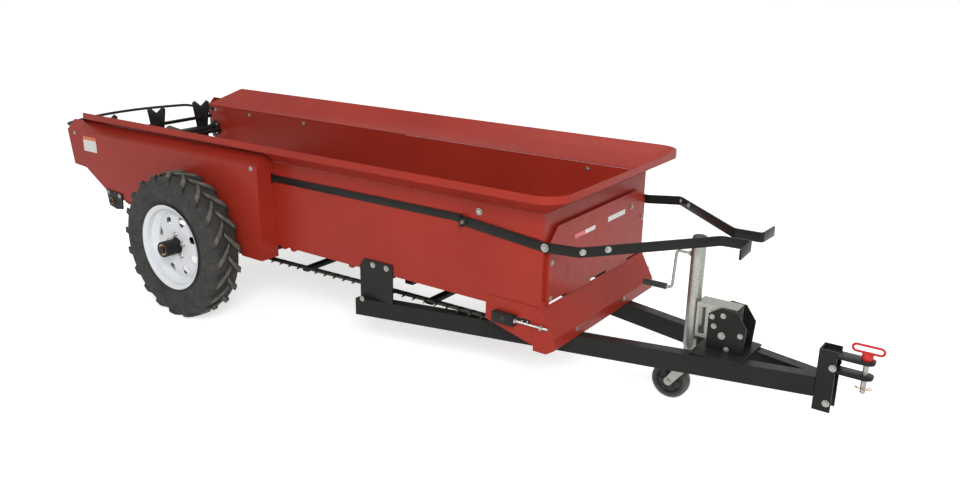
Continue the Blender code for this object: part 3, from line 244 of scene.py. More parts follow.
def deck_boards():
    """Planks along the box: long grain, and a dark joint after each board."""
    boards_per_metre, joint_share = 7.14, 0.025
    made = Finish("deck_boards", (0.19, 0.125, 0.068), 0.72)
    grain = made.noise(26.0, 6.0, stretch=(0.25, 6.0, 6.0), roughness=0.6)
    board = made.math("FRACT", made.math("MULTIPLY", made.parts()["Y"], boards_per_metre))
    joint = made.math("LESS_THAN", board, joint_share)
    wood = made.mix(made.spread(grain, 0.0, 1.0), (0.235, 0.160, 0.090), (0.120, 0.075, 0.040))
    return made.surface(made.mix(joint, wood, (0.015, 0.011, 0.008)),
                        made.spread(grain, 0.60, 0.85),
                        made.math("SUBTRACT", grain, joint), 0.30, 0.0012)


RED = powder_coat("red_powder_coat", (0.355, 0.030, 0.017), (0.310, 0.025, 0.014), 0.34, 0.05)
BLACK = powder_coat("black_powder_coat", (0.0085, 0.0085, 0.0080), (0.0135, 0.0135, 0.0130),
                    0.40, 0.03, dust=(0.030, 0.029, 0.027))
WHITE = powder_coat("white_wheel_paint", (0.80, 0.82, 0.84), (0.74, 0.76, 0.78), 0.34, 0.35)
PIN_RED = powder_coat("red_pin_paint", (0.60, 0.028, 0.020), (0.50, 0.022, 0.016), 0.36)
ZINC = zinc_plate()
STEEL = plain_metal("bright_steel", (0.56, 0.56, 0.54), (0.42, 0.42, 0.40), 0.32)
CHAIN_STEEL = plain_metal("oiled_chain_steel", (0.060, 0.056, 0.050), (0.030, 0.028, 0.026), 0.50)
BRASS = plain_metal("bronze_bushing", (0.48, 0.33, 0.13), (0.36, 0.24, 0.10), 0.36)
RUBBER = tyre_rubber()
CASTER_RUBBER = caster_rubber()
BOARDS = deck_boards()
GRIP = plastic("black_plastic", (0.020, 0.020, 0.019), (0.028, 0.028, 0.027), 0.48)
LABEL = plastic("blank_label_white", (0.78, 0.78, 0.76), (0.73, 0.73, 0.71), 0.30)
LABEL_ORANGE = plastic("blank_label_orange", (0.72, 0.20, 0.045), (0.66, 0.17, 0.040), 0.30)
LABEL_RED = plastic("blank_label_red", (0.74, 0.17, 0.18), (0.70, 0.14, 0.15), 0.30)


# Making meshes

def moved(matrix, points):
    return [matrix @ Vector(point) for point in points]


def along_y(place=(0.0, 0.0, 0.0)):
    """Frame whose local Z points along +Y."""
    return Matrix.Translation(place) @ Matrix.Rotation(-math.pi / 2, 4, "X")


def along_x(place):
    """Frame whose local Z points along +X."""
    return Matrix.Translation(place) @ Matrix.Rotation(math.pi / 2, 4, "Y")


def on_circle(centre, radius, angle):
    return centre[0] + radius * math.cos(angle), centre[1] + radius * math.sin(angle)


def arc(centre, radius, start, stop, steps):
    angles = [math.radians(start + (stop - start) * i / steps) for i in range(steps + 1)]
    return [on_circle(centre, radius, angle) for angle in angles]


def spaced(count, start=0.0):
    """Angles spaced evenly round a circle."""
    return [start + math.tau * i / count for i in range(count)]


def span(side, distances):
    """Low and high end along Y, on one side, from two distances out."""
    return sorted(side * out for out in distances)


def sided(profile, side):
    return [(radius, side * out) for radius, out in profile]


def mirrored(half):
    """A profile from its half, which starts on the middle plane."""
    return list(reversed(half)) + sided(half[1:], -1)


def loft(shape, rings, closed=False, look=0):
    """Skin over rings of points that have the same count."""
    rows = [[shape.verts.new(point) for point in ring] for ring in rings]
    for before, after in zip(rows, rows[1:] + (rows[:1] if closed else [])):
        for i in range(len(before)):
            j = (i + 1) % len(before)
            face = shape.faces.new((before[i], before[j], after[j], after[i]))
            face.material_index = look
    if not closed:
        for row in (rows[0], rows[-1]):
            shape.faces.new(row).material_index = look


def turned(shape, profile, steps, matrix=Matrix(), look=0):
    """A profile of radius and distance along local Z, turned round local Z.

    It runs from the axis back to the axis, or else it is a closed loop.
    """
    rows = []
    for angle in spaced(steps):
        across, up = math.cos(angle), math.sin(angle)
        ring = moved(matrix, [(radius * across, radius * up, along) for radius, along in profile])
        rows.append([shape.verts.new(point) for point in ring])
    sides = len(profile) if profile[0][0] > 0 else len(profile) - 1
    for before, after in zip(rows, rows[1:] + rows[:1]):
        for k in range(sides):
            n = (k + 1) % len(profile)
            shape.faces.new((before[k], before[n], after[n], after[k])).material_index = look
    bmesh.ops.remove_doubles(shape, verts=shape.verts, dist=MERGE)


def rod(shape, radius, low, high, steps, matrix):
    turned(shape, [(0.0, low), (radius, low), (radius, high), (0.0, high)], steps, matrix)


def sleeve(shape, inner, outer, low, high, steps, matrix):
    turned(shape, [(inner, low), (outer, low), (outer, high), (inner, high)], steps, matrix)


def arced(before, corner, after, radius, steps):
    """A corner as an arc, which takes less than half of either side."""
    first, second = before - corner, after - corner
    cut = min(radius, first.length * 0.49, second.length * 0.49)
    start, stop = corner + first.normalized() * cut, corner + second.normalized() * cut
    shares = [i / steps for i in range(steps + 1)]
    return [start.lerp(corner, t).lerp(corner.lerp(stop, t), t) for t in shares]


def rounded(path, radius, steps=6):
    """A path with its corners turned into arcs."""
    path = [Vector(point) for point in path]
    made = [path[0]]
    for corner in zip(path, path[1:], path[2:]):
        made += arced(*corner, radius, steps)
    return made + [path[-1]]


def rounded_outline(points, radius):
    """A closed outline of x and y with its corners turned into arcs."""
    points = [Vector(point) for point in points]
    made = []
    for corner in zip(points[-1:] + points, points, points[1:] + points[:1]):
        made += arced(*corner, radius, 5)
    return made


def tube(shape, path, radius, sides, closed=False, look=0):
    """A round bar along a path, without twist."""
    path = [Vector(point) for point in path]
    tangents = []
    for i, point in enumerate(path):
        after = path[(i + 1) % len(path)] if closed or i < len(path) - 1 else point
        before = path[i - 1] if closed or i else point
        tangents.append((after - before).normalized())
    normal = tangents[0].orthogonal().normalized()
    turns = spaced(sides)
    rings = []
    for point, tangent in zip(path, tangents):
        normal = (normal - tangent * normal.dot(tangent)).normalized()
        side = tangent.cross(normal)
        rings.append([point + (normal * math.cos(a) + side * math.sin(a)) * radius for a in turns])
    loft(shape, rings, closed=closed, look=look)


def strip(shape, path, half, thick):
    """A flat bar on edge along a path at its middle height, with half its height."""
    path = [Vector(point) for point in path]
    up = Vector((0.0, 0.0, half))
    rings = []
    for i, point in enumerate(path):
        ahead = (path[min(i + 1, len(path) - 1)] - point).to_2d()
        behind = (point - path[max(i - 1, 0)]).to_2d()
        tangent = Vector((0.0, 0.0))
        for part in (ahead, behind):
            if part.length > 0:
                tangent += part.normalized()
        tangent.normalize()
        side = Vector((-tangent.y, tangent.x, 0.0)) * thick / 2
        rings.append([point + side + up, point - side + up, point - side - up, point + side - up])
    loft(shape, rings)


def block(shape, low, high, matrix=Matrix()):
    (x1, y1, z1), (x2, y2, z2) = low, high
    loft(shape, [moved(matrix, [(x, y1, z1), (x, y2, z1), (x, y2, z2), (x, y1, z2)])
                 for x in (x1, x2)])


def plate(shape, outline, low, high, matrix=Matrix()):
    """Outline of x and y, extruded along local Z."""
    loft(shape, [moved(matrix, [(x, y, z) for x, y in outline]) for z in (low, high)])


# Pieces

def in_scene(name, data):
    obj = bpy.data.objects.new(name, data)
    bpy.context.scene.collection.objects.link(obj)
    return obj


def as_object(name, shape, looks):
    mesh = bpy.data.meshes.new(name)
    shape.to_mesh(mesh)
    shape.free()
    for look in looks:
        mesh.materials.append(look)
    return in_scene(name, mesh)


def closed_object(name, shape, looks):
    """An object whose faces all point out."""
    bmesh.ops.recalc_face_normals(shape, faces=shape.faces)
    return as_object(name, shape, looks)


def bake(obj):
    """Gives an object its evaluated form as a plain mesh, without modifiers."""
    bpy.context.view_layer.update()
    evaluated = obj.evaluated_get(bpy.context.evaluated_depsgraph_get())
    mesh = bpy.data.meshes.new_from_object(evaluated)
    obj.modifiers.clear()
    obj.data = mesh
    return obj


def soften(obj, width, angle=35):
    """Rounds the sharp edges of an object."""
    bevel = obj.modifiers.new("edges", "BEVEL")
    bevel.width = width
    bevel.segments = 2
    bevel.limit_method = "ANGLE"
    bevel.angle_limit = math.radians(angle)
    return bake(obj)


def joined(first, *others):
    """One object out of several with the same place."""
    shape, looks, name = bmesh.new(), [], first.name
    for obj in (first, *others):
        start = len(shape.faces)
        shape.from_mesh(obj.data)
        shape.faces.ensure_lookup_table()
        for face in shape.faces[start:]:
            look = obj.data.materials[face.material_index]
            if look not in looks:
                looks.append(look)
            face.material_index = looks.index(look)
    for obj in (first, *others):
        bpy.data.objects.remove(obj)
    return as_object(name, shape, looks)


def fit(obj, body, slot, *nodes, at=(0.0, 0.0, 0.0), angle=32):
    """Puts an object in its place on a body and hides the solids that it stands for."""
    obj.data.transform(Matrix.Translation(AXLE + Vector(at)))
    for face in obj.data.polygons:
        face.use_smooth = True
    obj.data.set_sharp_from_angle(angle=math.radians(angle))
    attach(obj, body)
    if nodes:
        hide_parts(*nodes)


def add(name, shape, looks, body, slot, *nodes, soft=0.0, **placing):
    """Makes a shape a piece, its sharp edges rounded by soft, and fits it."""
    obj = closed_object(name, shape, looks)
    if soft:
        soften(obj, soft)
    fit(obj, body, slot, *nodes, **placing)


# Geometry Nodes for what repeats

def placing_tree(name, sockets, instance, **turning):
    """A tree that puts an instance at every point, by the point's facing and size.

    sockets: name, kind and start value of the inputs beside the finish.
    instance: makes the geometry that repeats, from the tree and its inputs.
    """
    tree = bpy.data.node_groups.new(name, "GeometryNodeTree")
    for way in ("INPUT", "OUTPUT"):
        tree.interface.new_socket("Geometry", in_out=way, socket_type="NodeSocketGeometry")
    for label, kind, value in (*sockets, ("Finish", "NodeSocketMaterial", None)):
        made = tree.interface.new_socket(label, in_out="INPUT", socket_type=kind)
        if value is not None:
            made.default_value = value
    given = node(tree, "NodeGroupInput").outputs
    facing, size = [node(tree, "GeometryNodeInputNamedAttribute", {"Name": label},
                         data_type=kind).outputs["Attribute"]
                    for label, kind in (("facing", "FLOAT_VECTOR"), ("size", "FLOAT"))]
    turn = node(tree, "FunctionNodeAlignRotationToVector", {"Vector": facing}, **turning)
    put = node(tree, "GeometryNodeInstanceOnPoints",
               {"Points": given["Geometry"], "Instance": instance(tree, given),
                "Rotation": turn.outputs["Rotation"], "Scale": size})
    real = node(tree, "GeometryNodeRealizeInstances", {"Geometry": put.outputs["Instances"]})
    coat = node(tree, "GeometryNodeSetMaterial",
                {"Geometry": real.outputs["Geometry"], "Material": given["Finish"]})
    node(tree, "NodeGroupOutput", {"Geometry": coat.outputs["Geometry"]})
    return tree


def bolt_head(tree, given):
    """A washer, a hexagon head and the bolt's end, for a head radius of 1."""
    washer, end = 0.24, 0.72    # the washer's thickness and the end's radius
    high = given["Head Height"]
    above = calculation(tree, "ADD", calculation(tree, "MULTIPLY", high, 0.5), washer)
    join = node(tree, "GeometryNodeJoinGeometry")
    for sides, radius, depth, lift in ((20, given["Washer"], washer, washer / 2),
                                       (6, 1.0, high, above), (14, end, high, high)):
        made = node(tree, "GeometryNodeMeshCylinder",
                    {"Vertices": sides, "Radius": radius, "Depth": depth})
        raised = node(tree, "ShaderNodeCombineXYZ", {2: lift})
        shift = node(tree, "GeometryNodeTransform",
                     {"Geometry": made.outputs["Mesh"], "Translation": raised.outputs[0]})
        tree.links.new(shift.outputs["Geometry"], join.inputs[0])
    return join.outputs[0]


def given_piece(tree, given):
    return node(tree, "GeometryNodeObjectInfo", {"Object": given["Piece"]}).outputs["Geometry"]


BOLT_TREE = placing_tree("bolt_heads", (("Head Height", "NodeSocketFloat", 0.55),
                                        ("Washer", "NodeSocketFloat", 1.55)), bolt_head, axis="Z")
REPEAT_TREE = placing_tree("repeated_piece", (("Piece", "NodeSocketObject", None),), given_piece,
                           axis="X", pivot_axis="Y")


def grown(name, rows, tree, **values):
    """A tree's result on a table of place, facing and size, as a plain mesh object."""
    mesh = bpy.data.meshes.new(name)
    mesh.from_pydata([place for place, _, _ in rows], [], [])
    mesh.attributes.new("facing", "FLOAT_VECTOR", "POINT")
    mesh.attributes.new("size", "FLOAT", "POINT")
    for i, (_, facing, size) in enumerate(rows):
        mesh.attributes["facing"].data[i].vector = facing
        mesh.attributes["size"].data[i].value = size
    obj = in_scene(name, mesh)
    modifier = obj.modifiers.new(tree.name, "NODES")
    modifier.node_group = tree
    for item in tree.interface.items_tree:
        label = item.name.lower().replace(" ", "_")
        if item.in_out == "INPUT" and label in values:
            modifier[item.identifier] = values[label]
    return bake(obj)


def bolts(name, body, rows, look=ZINC, **sizes):
    fit(grown(name, rows, BOLT_TREE, finish=look, **sizes), body, "zinc")


def repeated(name, piece, rows, look):
    obj = grown(name, rows, REPEAT_TREE, piece=piece, finish=look)
    bpy.data.objects.remove(piece)
    return obj


# The hopper's rim

def hopper_rim():
    half, nose = HALF_WIDTH - WALL / 2, FRONT - WALL / 2
    out_y, out_x = HALF_WIDTH + FLARE, FRONT + FLARE
    corner = arc((out_x - CORNER_RADIUS, out_y - CORNER_RADIUS), CORNER_RADIUS, 90, 0, 16)
    # x and y of the crease and of the outer edge
    stations = [(REAR, half, REAR + REAR_CUT, out_y)] + [(nose, half, x, y) for x, y in corner]
    left = [((xi, yi, CREASE), (xo, yo, RIM_TOP), (xo, yo, RIM_TOP - LIP))
            for xi, yi, xo, yo in stations]
    right = [tuple((x, -y, z) for x, y, z in station) for station in reversed(left)]
    shape = bmesh.new()
    rows = [[shape.verts.new(point) for point in station] for station in left + right]
    for before, after in zip(rows, rows[1:]):
        for i in range(2):
            shape.faces.new((before[i], after[i], after[i + 1], before[i + 1]))
    # The lip's fold down the slanted rear edges
    for station in (left[0], right[-1]):
        shape.faces.new([shape.verts.new(point) for point in station])
    bmesh.ops.remove_doubles(shape, verts=shape.verts, dist=MERGE)
    rim_sheet = closed_object("hopper_rim", shape, [RED])
    sheet = rim_sheet.modifiers.new("sheet", "SOLIDIFY")
    sheet.thickness = WALL
    sheet.offset = 0.0
    fit(bake(rim_sheet), "frame", "powder_red", "top_rim", angle=28)


# Levers and straps

LEVER, STRAP = 0.008, 0.005     # thicknesses
LEVER_Y = HALF_WIDTH + GAP + LEVER / 2
STRAP_Y = HALF_WIDTH + GAP + STRAP / 2
TAB = 0.026                     # how far an end is bent out
LEVER_PATH = ((1.5368, LEVER_Y + TAB, 0.704), (1.5368, LEVER_Y, 0.704), (1.905, LEVER_Y, 0.668),
              (2.053, 0.444, 0.682), (2.424, 0.061, 0.702), (2.531, 0.059, 0.704),
              (2.534, 0.179, 0.701))
STRAP_PATH = ((0.300, STRAP_Y, 0.712), (1.530, STRAP_Y, 0.712), (1.530, STRAP_Y + TAB, 0.712))
# Kind, path, bend radius, half height, thickness, edge rounding
BARS = (("lever", LEVER_PATH, 0.014, 0.019, LEVER, 0.0014),
        ("strap", STRAP_PATH, 0.008, 0.016, STRAP, 0.0008))


def levers():
    for side, hand in SIDES:
        for kind, path, bend, half, thick, soft in BARS:
            shape = bmesh.new()
            strip(shape, rounded([(x, side * y, z) for x, y, z in path], bend), half, thick)
            add(f"drive_{kind}_{hand}", shape, [BLACK], "frame", "frame_black", f"{kind}_{hand}",
                soft=soft)


# The apron: chain, slats, sprockets and shafts

RETURN_RUN = ((1.50, 0.291), (1.15, 0.288), (0.75, 0.281), (0.38, 0.274), (0.0, 0.270),
              (-0.35, 0.302))
RETURN_SLATS = (1.30, 0.95, 0.56, 0.19, -0.18)
SLAT_EVERY = 5          # links
SLAT_HALF = 0.350
# Half of a slat's channel section: x and height
SLAT_SECTION = ((-0.018, 0.0), (-0.018, 0.018), (0.018, 0.018), (0.018, 0.0), (0.0145, 0.0),
                (0.0145, 0.0145), (-0.0145, 0.0145), (-0.0145, 0.0))
# A link's side bars: distance out, half thickness, half height, reach past the pitch
BAR_Y, BAR_THICK, BAR_HIGH, BAR_END = 0.0095, 0.0016, 0.0055, 0.004
ROLLER_IN, ROLLER_OUT, ROLLER_HALF = 0.0034, 0.0058, 0.0078
PIN_RADIUS, PIN_ENDS = 0.0042, (0.0110, 0.0168)
# The open hook that shows under the return run, from the link's rear pin: x and z
HOOK = ((-0.0085, 0.003), (0.0035, 0.0110), (0.0130, 0.0180), (0.0175, 0.0165), (0.0100, 0.0080),
        (0.0075, 0.0030))
HOOK_HALF = 0.0100
# One tooth: angle from its middle and radius
TOOTH = ((-0.36, 0.0445), (-0.22, 0.0460), (-0.12, 0.0590), (0.12, 0.0590), (0.22, 0.0460),
         (0.36, 0.0445))
SPROCKET_HALF = 0.0045
BOSS_RADIUS, BOSS_HALF, BOSS_IN = 0.0255, 0.022, 0.010
SHAFT_EDGE = 0.0015
BUSHING_RADII, BUSHING_ENDS = (0.0130, 0.0172), (0.5346, 0.5401)


def link_places():
    """Middle and direction of each link round the apron's loop, in x and z."""
    loop = arc(REAR_SHAFT, SPROCKET_RADIUS, 255, 92, 40)
    loop += arc(FRONT_SHAFT, SPROCKET_RADIUS, 88, -82, 40)
    loop = [Vector(point) for point in loop + list(RETURN_RUN)]
    sides = list(zip(loop, loop[1:] + loop[:1]))
    length = sum((after - before).length for before, after in sides)
    count = round(length / PITCH)
    step = length / count
    ends, walked, made = [], 0.0, 0
    for before, after in sides:
        reach = (after - before).length
        while made < count and made * step < walked + reach:
            ends.append(before.lerp(after, (made * step - walked) / reach))
            made += 1
        walked += reach
    return [((start + stop) / 2, (stop - start).normalized())
            for start, stop in zip(ends, ends[1:] + ends[:1])]


def slat_places():
    """x, z and the way up of each slat."""
    first, step = REAR_SHAFT[0] + 2 * PITCH, SLAT_EVERY * PITCH
    slope = (FRONT_SHAFT[1] - REAR_SHAFT[1]) / (FRONT_SHAFT[0] - REAR_SHAFT[0])
    slats = []
    for number in range(int((FRONT_SHAFT[0] - PITCH - first) / step) + 1):
        x = first + step * number
        slats.append((x, REAR_SHAFT[1] + SPROCKET_RADIUS + slope * (x - REAR_SHAFT[0]), 1))
    for x in RETURN_SLATS:
        for (ahead, high), (behind, low) in zip(RETURN_RUN, RETURN_RUN[1:]):
            if behind <= x <= ahead:
                slats.append((x, low + (high - low) * (x - behind) / (ahead - behind), -1))
    return slats


def apron():
    shape = bmesh.new()
    end = PITCH / 2
    for side in (-1, 1):
        block(shape, (-end - BAR_END, side * BAR_Y - BAR_THICK, -BAR_HIGH),
              (end + BAR_END, side * BAR_Y + BAR_THICK, BAR_HIGH))
        rod(shape, PIN_RADIUS, *span(side, PIN_ENDS), 10, along_y((end, 0, 0)))
    sleeve(shape, ROLLER_IN, ROLLER_OUT, -ROLLER_HALF, ROLLER_HALF, 12, along_y((-end, 0, 0)))
    plate(shape, [(x - end, z) for x, z in HOOK], -HOOK_HALF, HOOK_HALF, STAND)
    link = closed_object("one_link", shape, [CHAIN_STEEL])
    places = link_places()
    rows = [((middle.x, side * STRAND_Y, middle.y), (direction.x, 0.0, direction.y), 1.0)
            for side in (-1, 1) for middle, direction in places]
    chain = repeated("apron_links", link, rows, CHAIN_STEEL)
    shape = bmesh.new()
    for x, z, up in slat_places():
        plate(shape, [(a, up * b) for a, b in SLAT_SECTION], -SLAT_HALF, SLAT_HALF,
              Matrix.Translation((x, 0.0, z)) @ STAND)
    slats = soften(closed_object("apron_slats", shape, [BLACK]), 0.0008)
    fit(joined(chain, slats), "frame", "frame_black", "apron_chain")


def apron_shafts():
    for name, (x, z), half in (("rear", REAR_SHAFT, 0.548), ("front", FRONT_SHAFT, 0.4545)):
        sprocket = [on_circle((x, z), radius, middle + turn)
                    for middle in spaced(TEETH, math.pi / 2) for turn, radius in TOOTH]
        shape = bmesh.new()
        tip = SHAFT_RADIUS - SHAFT_EDGE
        turned(shape, [(0.0, -half), (tip, -half), (SHAFT_RADIUS, SHAFT_EDGE - half),
                       (SHAFT_RADIUS, half - SHAFT_EDGE), (tip, half), (0.0, half)], 40,
               along_y((x, 0.0, z)))
        for side in (-1, 1):
            plate(shape, sprocket, -side * STRAND_Y - SPROCKET_HALF,
                  -side * STRAND_Y + SPROCKET_HALF, STAND)
            sleeve(shape, SHAFT_RADIUS, BOSS_RADIUS, -BOSS_HALF, BOSS_HALF, 32,
                   along_y((x, side * (STRAND_Y - BOSS_IN), z)))
        add(f"apron_shaft_{name}_round", shape, [CHAIN_STEEL], "frame", "frame_black",
            f"apron_shaft_{name}", soft=0.0009)
    shape = bmesh.new()
    for side in (-1, 1):
        sleeve(shape, *BUSHING_RADII, *span(side, BUSHING_ENDS), 36,
               along_y((REAR_SHAFT[0], 0.0, REAR_SHAFT[1])))
    add("shaft_bushings", shape, [BRASS], "frame", "zinc", soft=0.0008)


# The wheels

# Half of a tyre's section: radius, distance out
TYRE_HALF = ((0.3380, 0.0), (0.3378, 0.030), (0.3366, 0.052), (0.3335, 0.0640), (0.3270, 0.0715),
             (0.3170, 0.0755), (0.3030, 0.0770), (0.2880, 0.0772), (0.2700, 0.0762),
             (0.2520, 0.0738), (0.2400, 0.0708), (0.2370, 0.0712), (0.2340, 0.0700),
             (0.2290, 0.0672), (0.2235, 0.0655), (0.2180, 0.0630), (0.2115, 0.0612),
             (0.2000, 0.0590), (0.1925, 0.0580))
# A lug from its nose to its end: distance out, turn, top and foot radius, their half widths
LUG_SECTIONS = ((-0.0060, -0.015, 0.3536, 0.3350, 0.0095, 0.0125),
                (0.0080, 0.045, 0.3540, 0.3350, 0.0125, 0.0150),
                (0.0300, 0.125, 0.3538, 0.3345, 0.0140, 0.0170),
                (0.0520, 0.190, 0.3525, 0.3320, 0.0150, 0.0185),
                (0.0680, 0.228, 0.3490, 0.3260, 0.0155, 0.0195),
                (0.0765, 0.246, 0.3420, 0.3120, 0.0150, 0.0195),
                (0.0770, 0.252, 0.3300, 0.2980, 0.0125, 0.0165))
LUGS = 20
# A steel wheel's section, both faces: radius, distance out
RIM_SECTION = ((RIM_RADIUS, 0.0720), (RIM_RADIUS - 0.0006, 0.0700), (0.2040, 0.0655),
               (0.1960, 0.0615), (0.1920, 0.0590), (0.1920, 0.0360), (0.1880, 0.0310),
               (0.1700, 0.0210), (0.1660, 0.0180), (0.1660, -0.0180), (0.1920, -0.0355),
               (0.1920, -0.0600), (RIM_RADIUS, -0.0685), (RIM_RADIUS, -0.0720),
               (0.1885, -0.0635), (0.1885, -0.0355), (0.1625, -0.0220), (0.1625, 0.0020),
               (0.1600, 0.0060), (0.1500, 0.0150), (0.1300, 0.0225), (0.1150, 0.0250),
               (0.0900, 0.0252), (0.0550, 0.0250), (0.0420, 0.0250), (0.0420, 0.0300),
               (0.0550, 0.0300), (0.0900, 0.0302), (0.1170, 0.0300), (0.1330, 0.0270),
               (0.1540, 0.0180), (0.1615, 0.0120), (0.1650, 0.0180), (0.1800, 0.0290),
               (0.1875, 0.0345), (0.1885, 0.0400), (0.1885, 0.0610), (0.2000, 0.0680))
HAND_HOLES = 8
# A hand hole's corners: radius, angle from its middle
HAND_HOLE = ((0.108, -0.120), (0.108, 0.120), (0.145, 0.170), (0.145, -0.170))
HOLE_CORNER, CUT_FROM, CUT_TO = 0.009, 0.005, 0.045
# The valve: its turn round the wheel, radius and distance out of its foot, and its reach
VALVE_ANGLE, VALVE_FOOT, VALVE_REACH = 1.2, (0.150, 0.016), (0.010, 0.034)
# Radius of its sleeve and its end, with from and to as shares of the reach
VALVE_PARTS = ((0.0062, 0.0, 0.55), (0.0040, 0.5, 1.0))
LUG_NUTS, NUT_CIRCLE, NUT_RADIUS = 5, 0.057, 0.0105
HUB_LENGTH = HUB_END - WHEEL_Y
HUB_SECTION = ((0.0370, HUB_LENGTH), (0.0380, HUB_LENGTH - 0.0012), (0.0380, 0.0250),
               (0.0680, 0.0247), (0.0680, 0.0167), (0.0380, 0.0167), (0.0380, -0.0400),
               (0.0200, -0.0400), (0.0200, HUB_LENGTH - 0.004), (0.0270, HUB_LENGTH - 0.004),
               (0.0270, HUB_LENGTH))
BUSH_SECTION = ((0.0267, HUB_LENGTH - 0.0035), (0.0267, HUB_LENGTH - 0.0004),
                (0.0200, HUB_LENGTH - 0.0004), (0.0200, HUB_LENGTH - 0.0035))


def wheel_place(side):
    return 0.0, side * WHEEL_Y, TYRE_RADIUS


def one_lug(half):
    shape = bmesh.new()
    rings = []
    for out, turn, top, foot, wide_top, wide_foot in LUG_SECTIONS:
        corners = ((foot, -wide_foot), (foot, wide_foot), (top, wide_top), (top, -wide_top))
        angles = [(radius, turn + across / radius) for radius, across in corners]
        rings.append([(radius * math.sin(angle), half * out, radius * math.cos(angle))
                      for radius, angle in angles])
    loft(shape, rings)
    return soften(closed_object("one_lug", shape, [RUBBER]), 0.0022, angle=30)


def tyre(side, hand):
    shape = bmesh.new()
    turned(shape, mirrored(TYRE_HALF), 120, along_y())
    parts = [closed_object(f"lug_tyre_{hand}", shape, [RUBBER])]
    for half in (-1, 1):
        # The outer row stands half a lug's pitch on from the inner one
        shift = math.pi / LUGS if half * side > 0 else 0.0
        rows = [((0, 0, 0), (math.cos(angle), 0.0, -math.sin(angle)), 1.0)
                for angle in spaced(LUGS, shift)]
        parts.append(repeated(f"lugs_{half}", one_lug(half), rows, RUBBER))
    fit(joined(*parts), f"wheel_{hand}", "rubber", f"tyre_{hand}", at=wheel_place(side), angle=38)


def rim(side, hand):
    shape = bmesh.new()
    turned(shape, sided(RIM_SECTION, side), 128, along_y())
    disc = closed_object(f"steel_wheel_{hand}", shape, [WHITE])
    shape = bmesh.new()
    for middle in spaced(HAND_HOLES, math.pi / HAND_HOLES):
        outline = [on_circle((0.0, 0.0), radius, middle + half) for radius, half in HAND_HOLE]
        plate(shape, rounded_outline(outline, HOLE_CORNER), side * CUT_FROM, side * CUT_TO,
              along_y())
    cutter = closed_object("hand_hole_cutter", shape, [WHITE])
    cut = disc.modifiers.new("holes", "BOOLEAN")
    cut.operation = "DIFFERENCE"
    cut.solver = "EXACT"
    cut.object = cutter
    bake(disc)
    bpy.data.objects.remove(cutter)
    shape = bmesh.new()
    across, up = math.cos(VALVE_ANGLE), math.sin(VALVE_ANGLE)
    foot, reach = [Vector((radius * across, side * out, radius * up))
                   for radius, out in (VALVE_FOOT, VALVE_REACH)]
    for look, (radius, low, high) in enumerate(VALVE_PARTS):
        tube(shape, [foot + reach * low, foot + reach * high], radius, 14, look=look)
    valve = closed_object("valve", shape, [GRIP, STEEL])
    fit(joined(disc, valve), f"wheel_{hand}", "wheel_white", f"wheel_rim_{hand}",
        at=wheel_place(side), angle=30)
    places = [on_circle((0.0, TYRE_RADIUS), NUT_CIRCLE, angle)
              for angle in spaced(LUG_NUTS, math.pi / 2)]
    rows = [((x, side * (WHEEL_Y + DISC_Y), z), (0, side, 0), NUT_RADIUS) for x, z in places]
    bolts(f"wheel_nuts_{hand}", f"wheel_{hand}", rows, STEEL, head_height=1.15, washer=1.2)


def hub(side, hand):
    shape = bmesh.new()
    for look, section in enumerate((HUB_SECTION, BUSH_SECTION)):
        turned(shape, sided(section, side), 64, along_y(), look)
    add(f"turned_hub_{hand}", shape, [BLACK, BRASS], f"wheel_{hand}", "frame_black",
        f"wheel_hub_{hand}", at=wheel_place(side))


# The beater and the hoop behind it

# Place along Y, turn round the shaft and twist, in degrees
PADDLES = ((-0.320, 0, -28), (-0.160, 90, -28), (0.0, 0, -28), (0.160, 90, -28), (0.320, 0, -28),
           (-0.320, 180, 28), (-0.160, 270, -28), (0.0, 180, 28), (0.160, 270, -28),
           (0.320, 180, 28))
PADDLE = ((-0.030, 0.0), (0.030, 0.0), (0.052, 0.169), (0.034, 0.182), (0.0, 0.149),
          (-0.034, 0.182), (-0.052, 0.169))
PADDLE_HALF = 0.003
BEATER_HALF = 0.3915    # half the length of its tube and bars
JOURNAL_HALF = 0.4192
JOURNAL_RADIUS, TUBE_RADIUS = 0.015, 0.026
BAR_OUT, BAR_HALF = 0.080, 0.009
BEARING = ((0.0450, 0.4212), (0.0450, 0.4115), (0.0440, 0.4105), (0.0320, 0.4045),
           (0.0300, 0.3995), (0.0155, 0.3995), (0.0155, 0.4212))
HOOP_Y, HOOP_Z = 0.4132, 0.770
HOOP_FOOT, HOOP_CORNER, HOOP_BACK = -0.988, -1.245, -1.352
HOOP_RADIUS, HOOP_BEND = 0.008, 0.030
HOOP_SPAN = 0.86        # share of the width that the curve's points take up


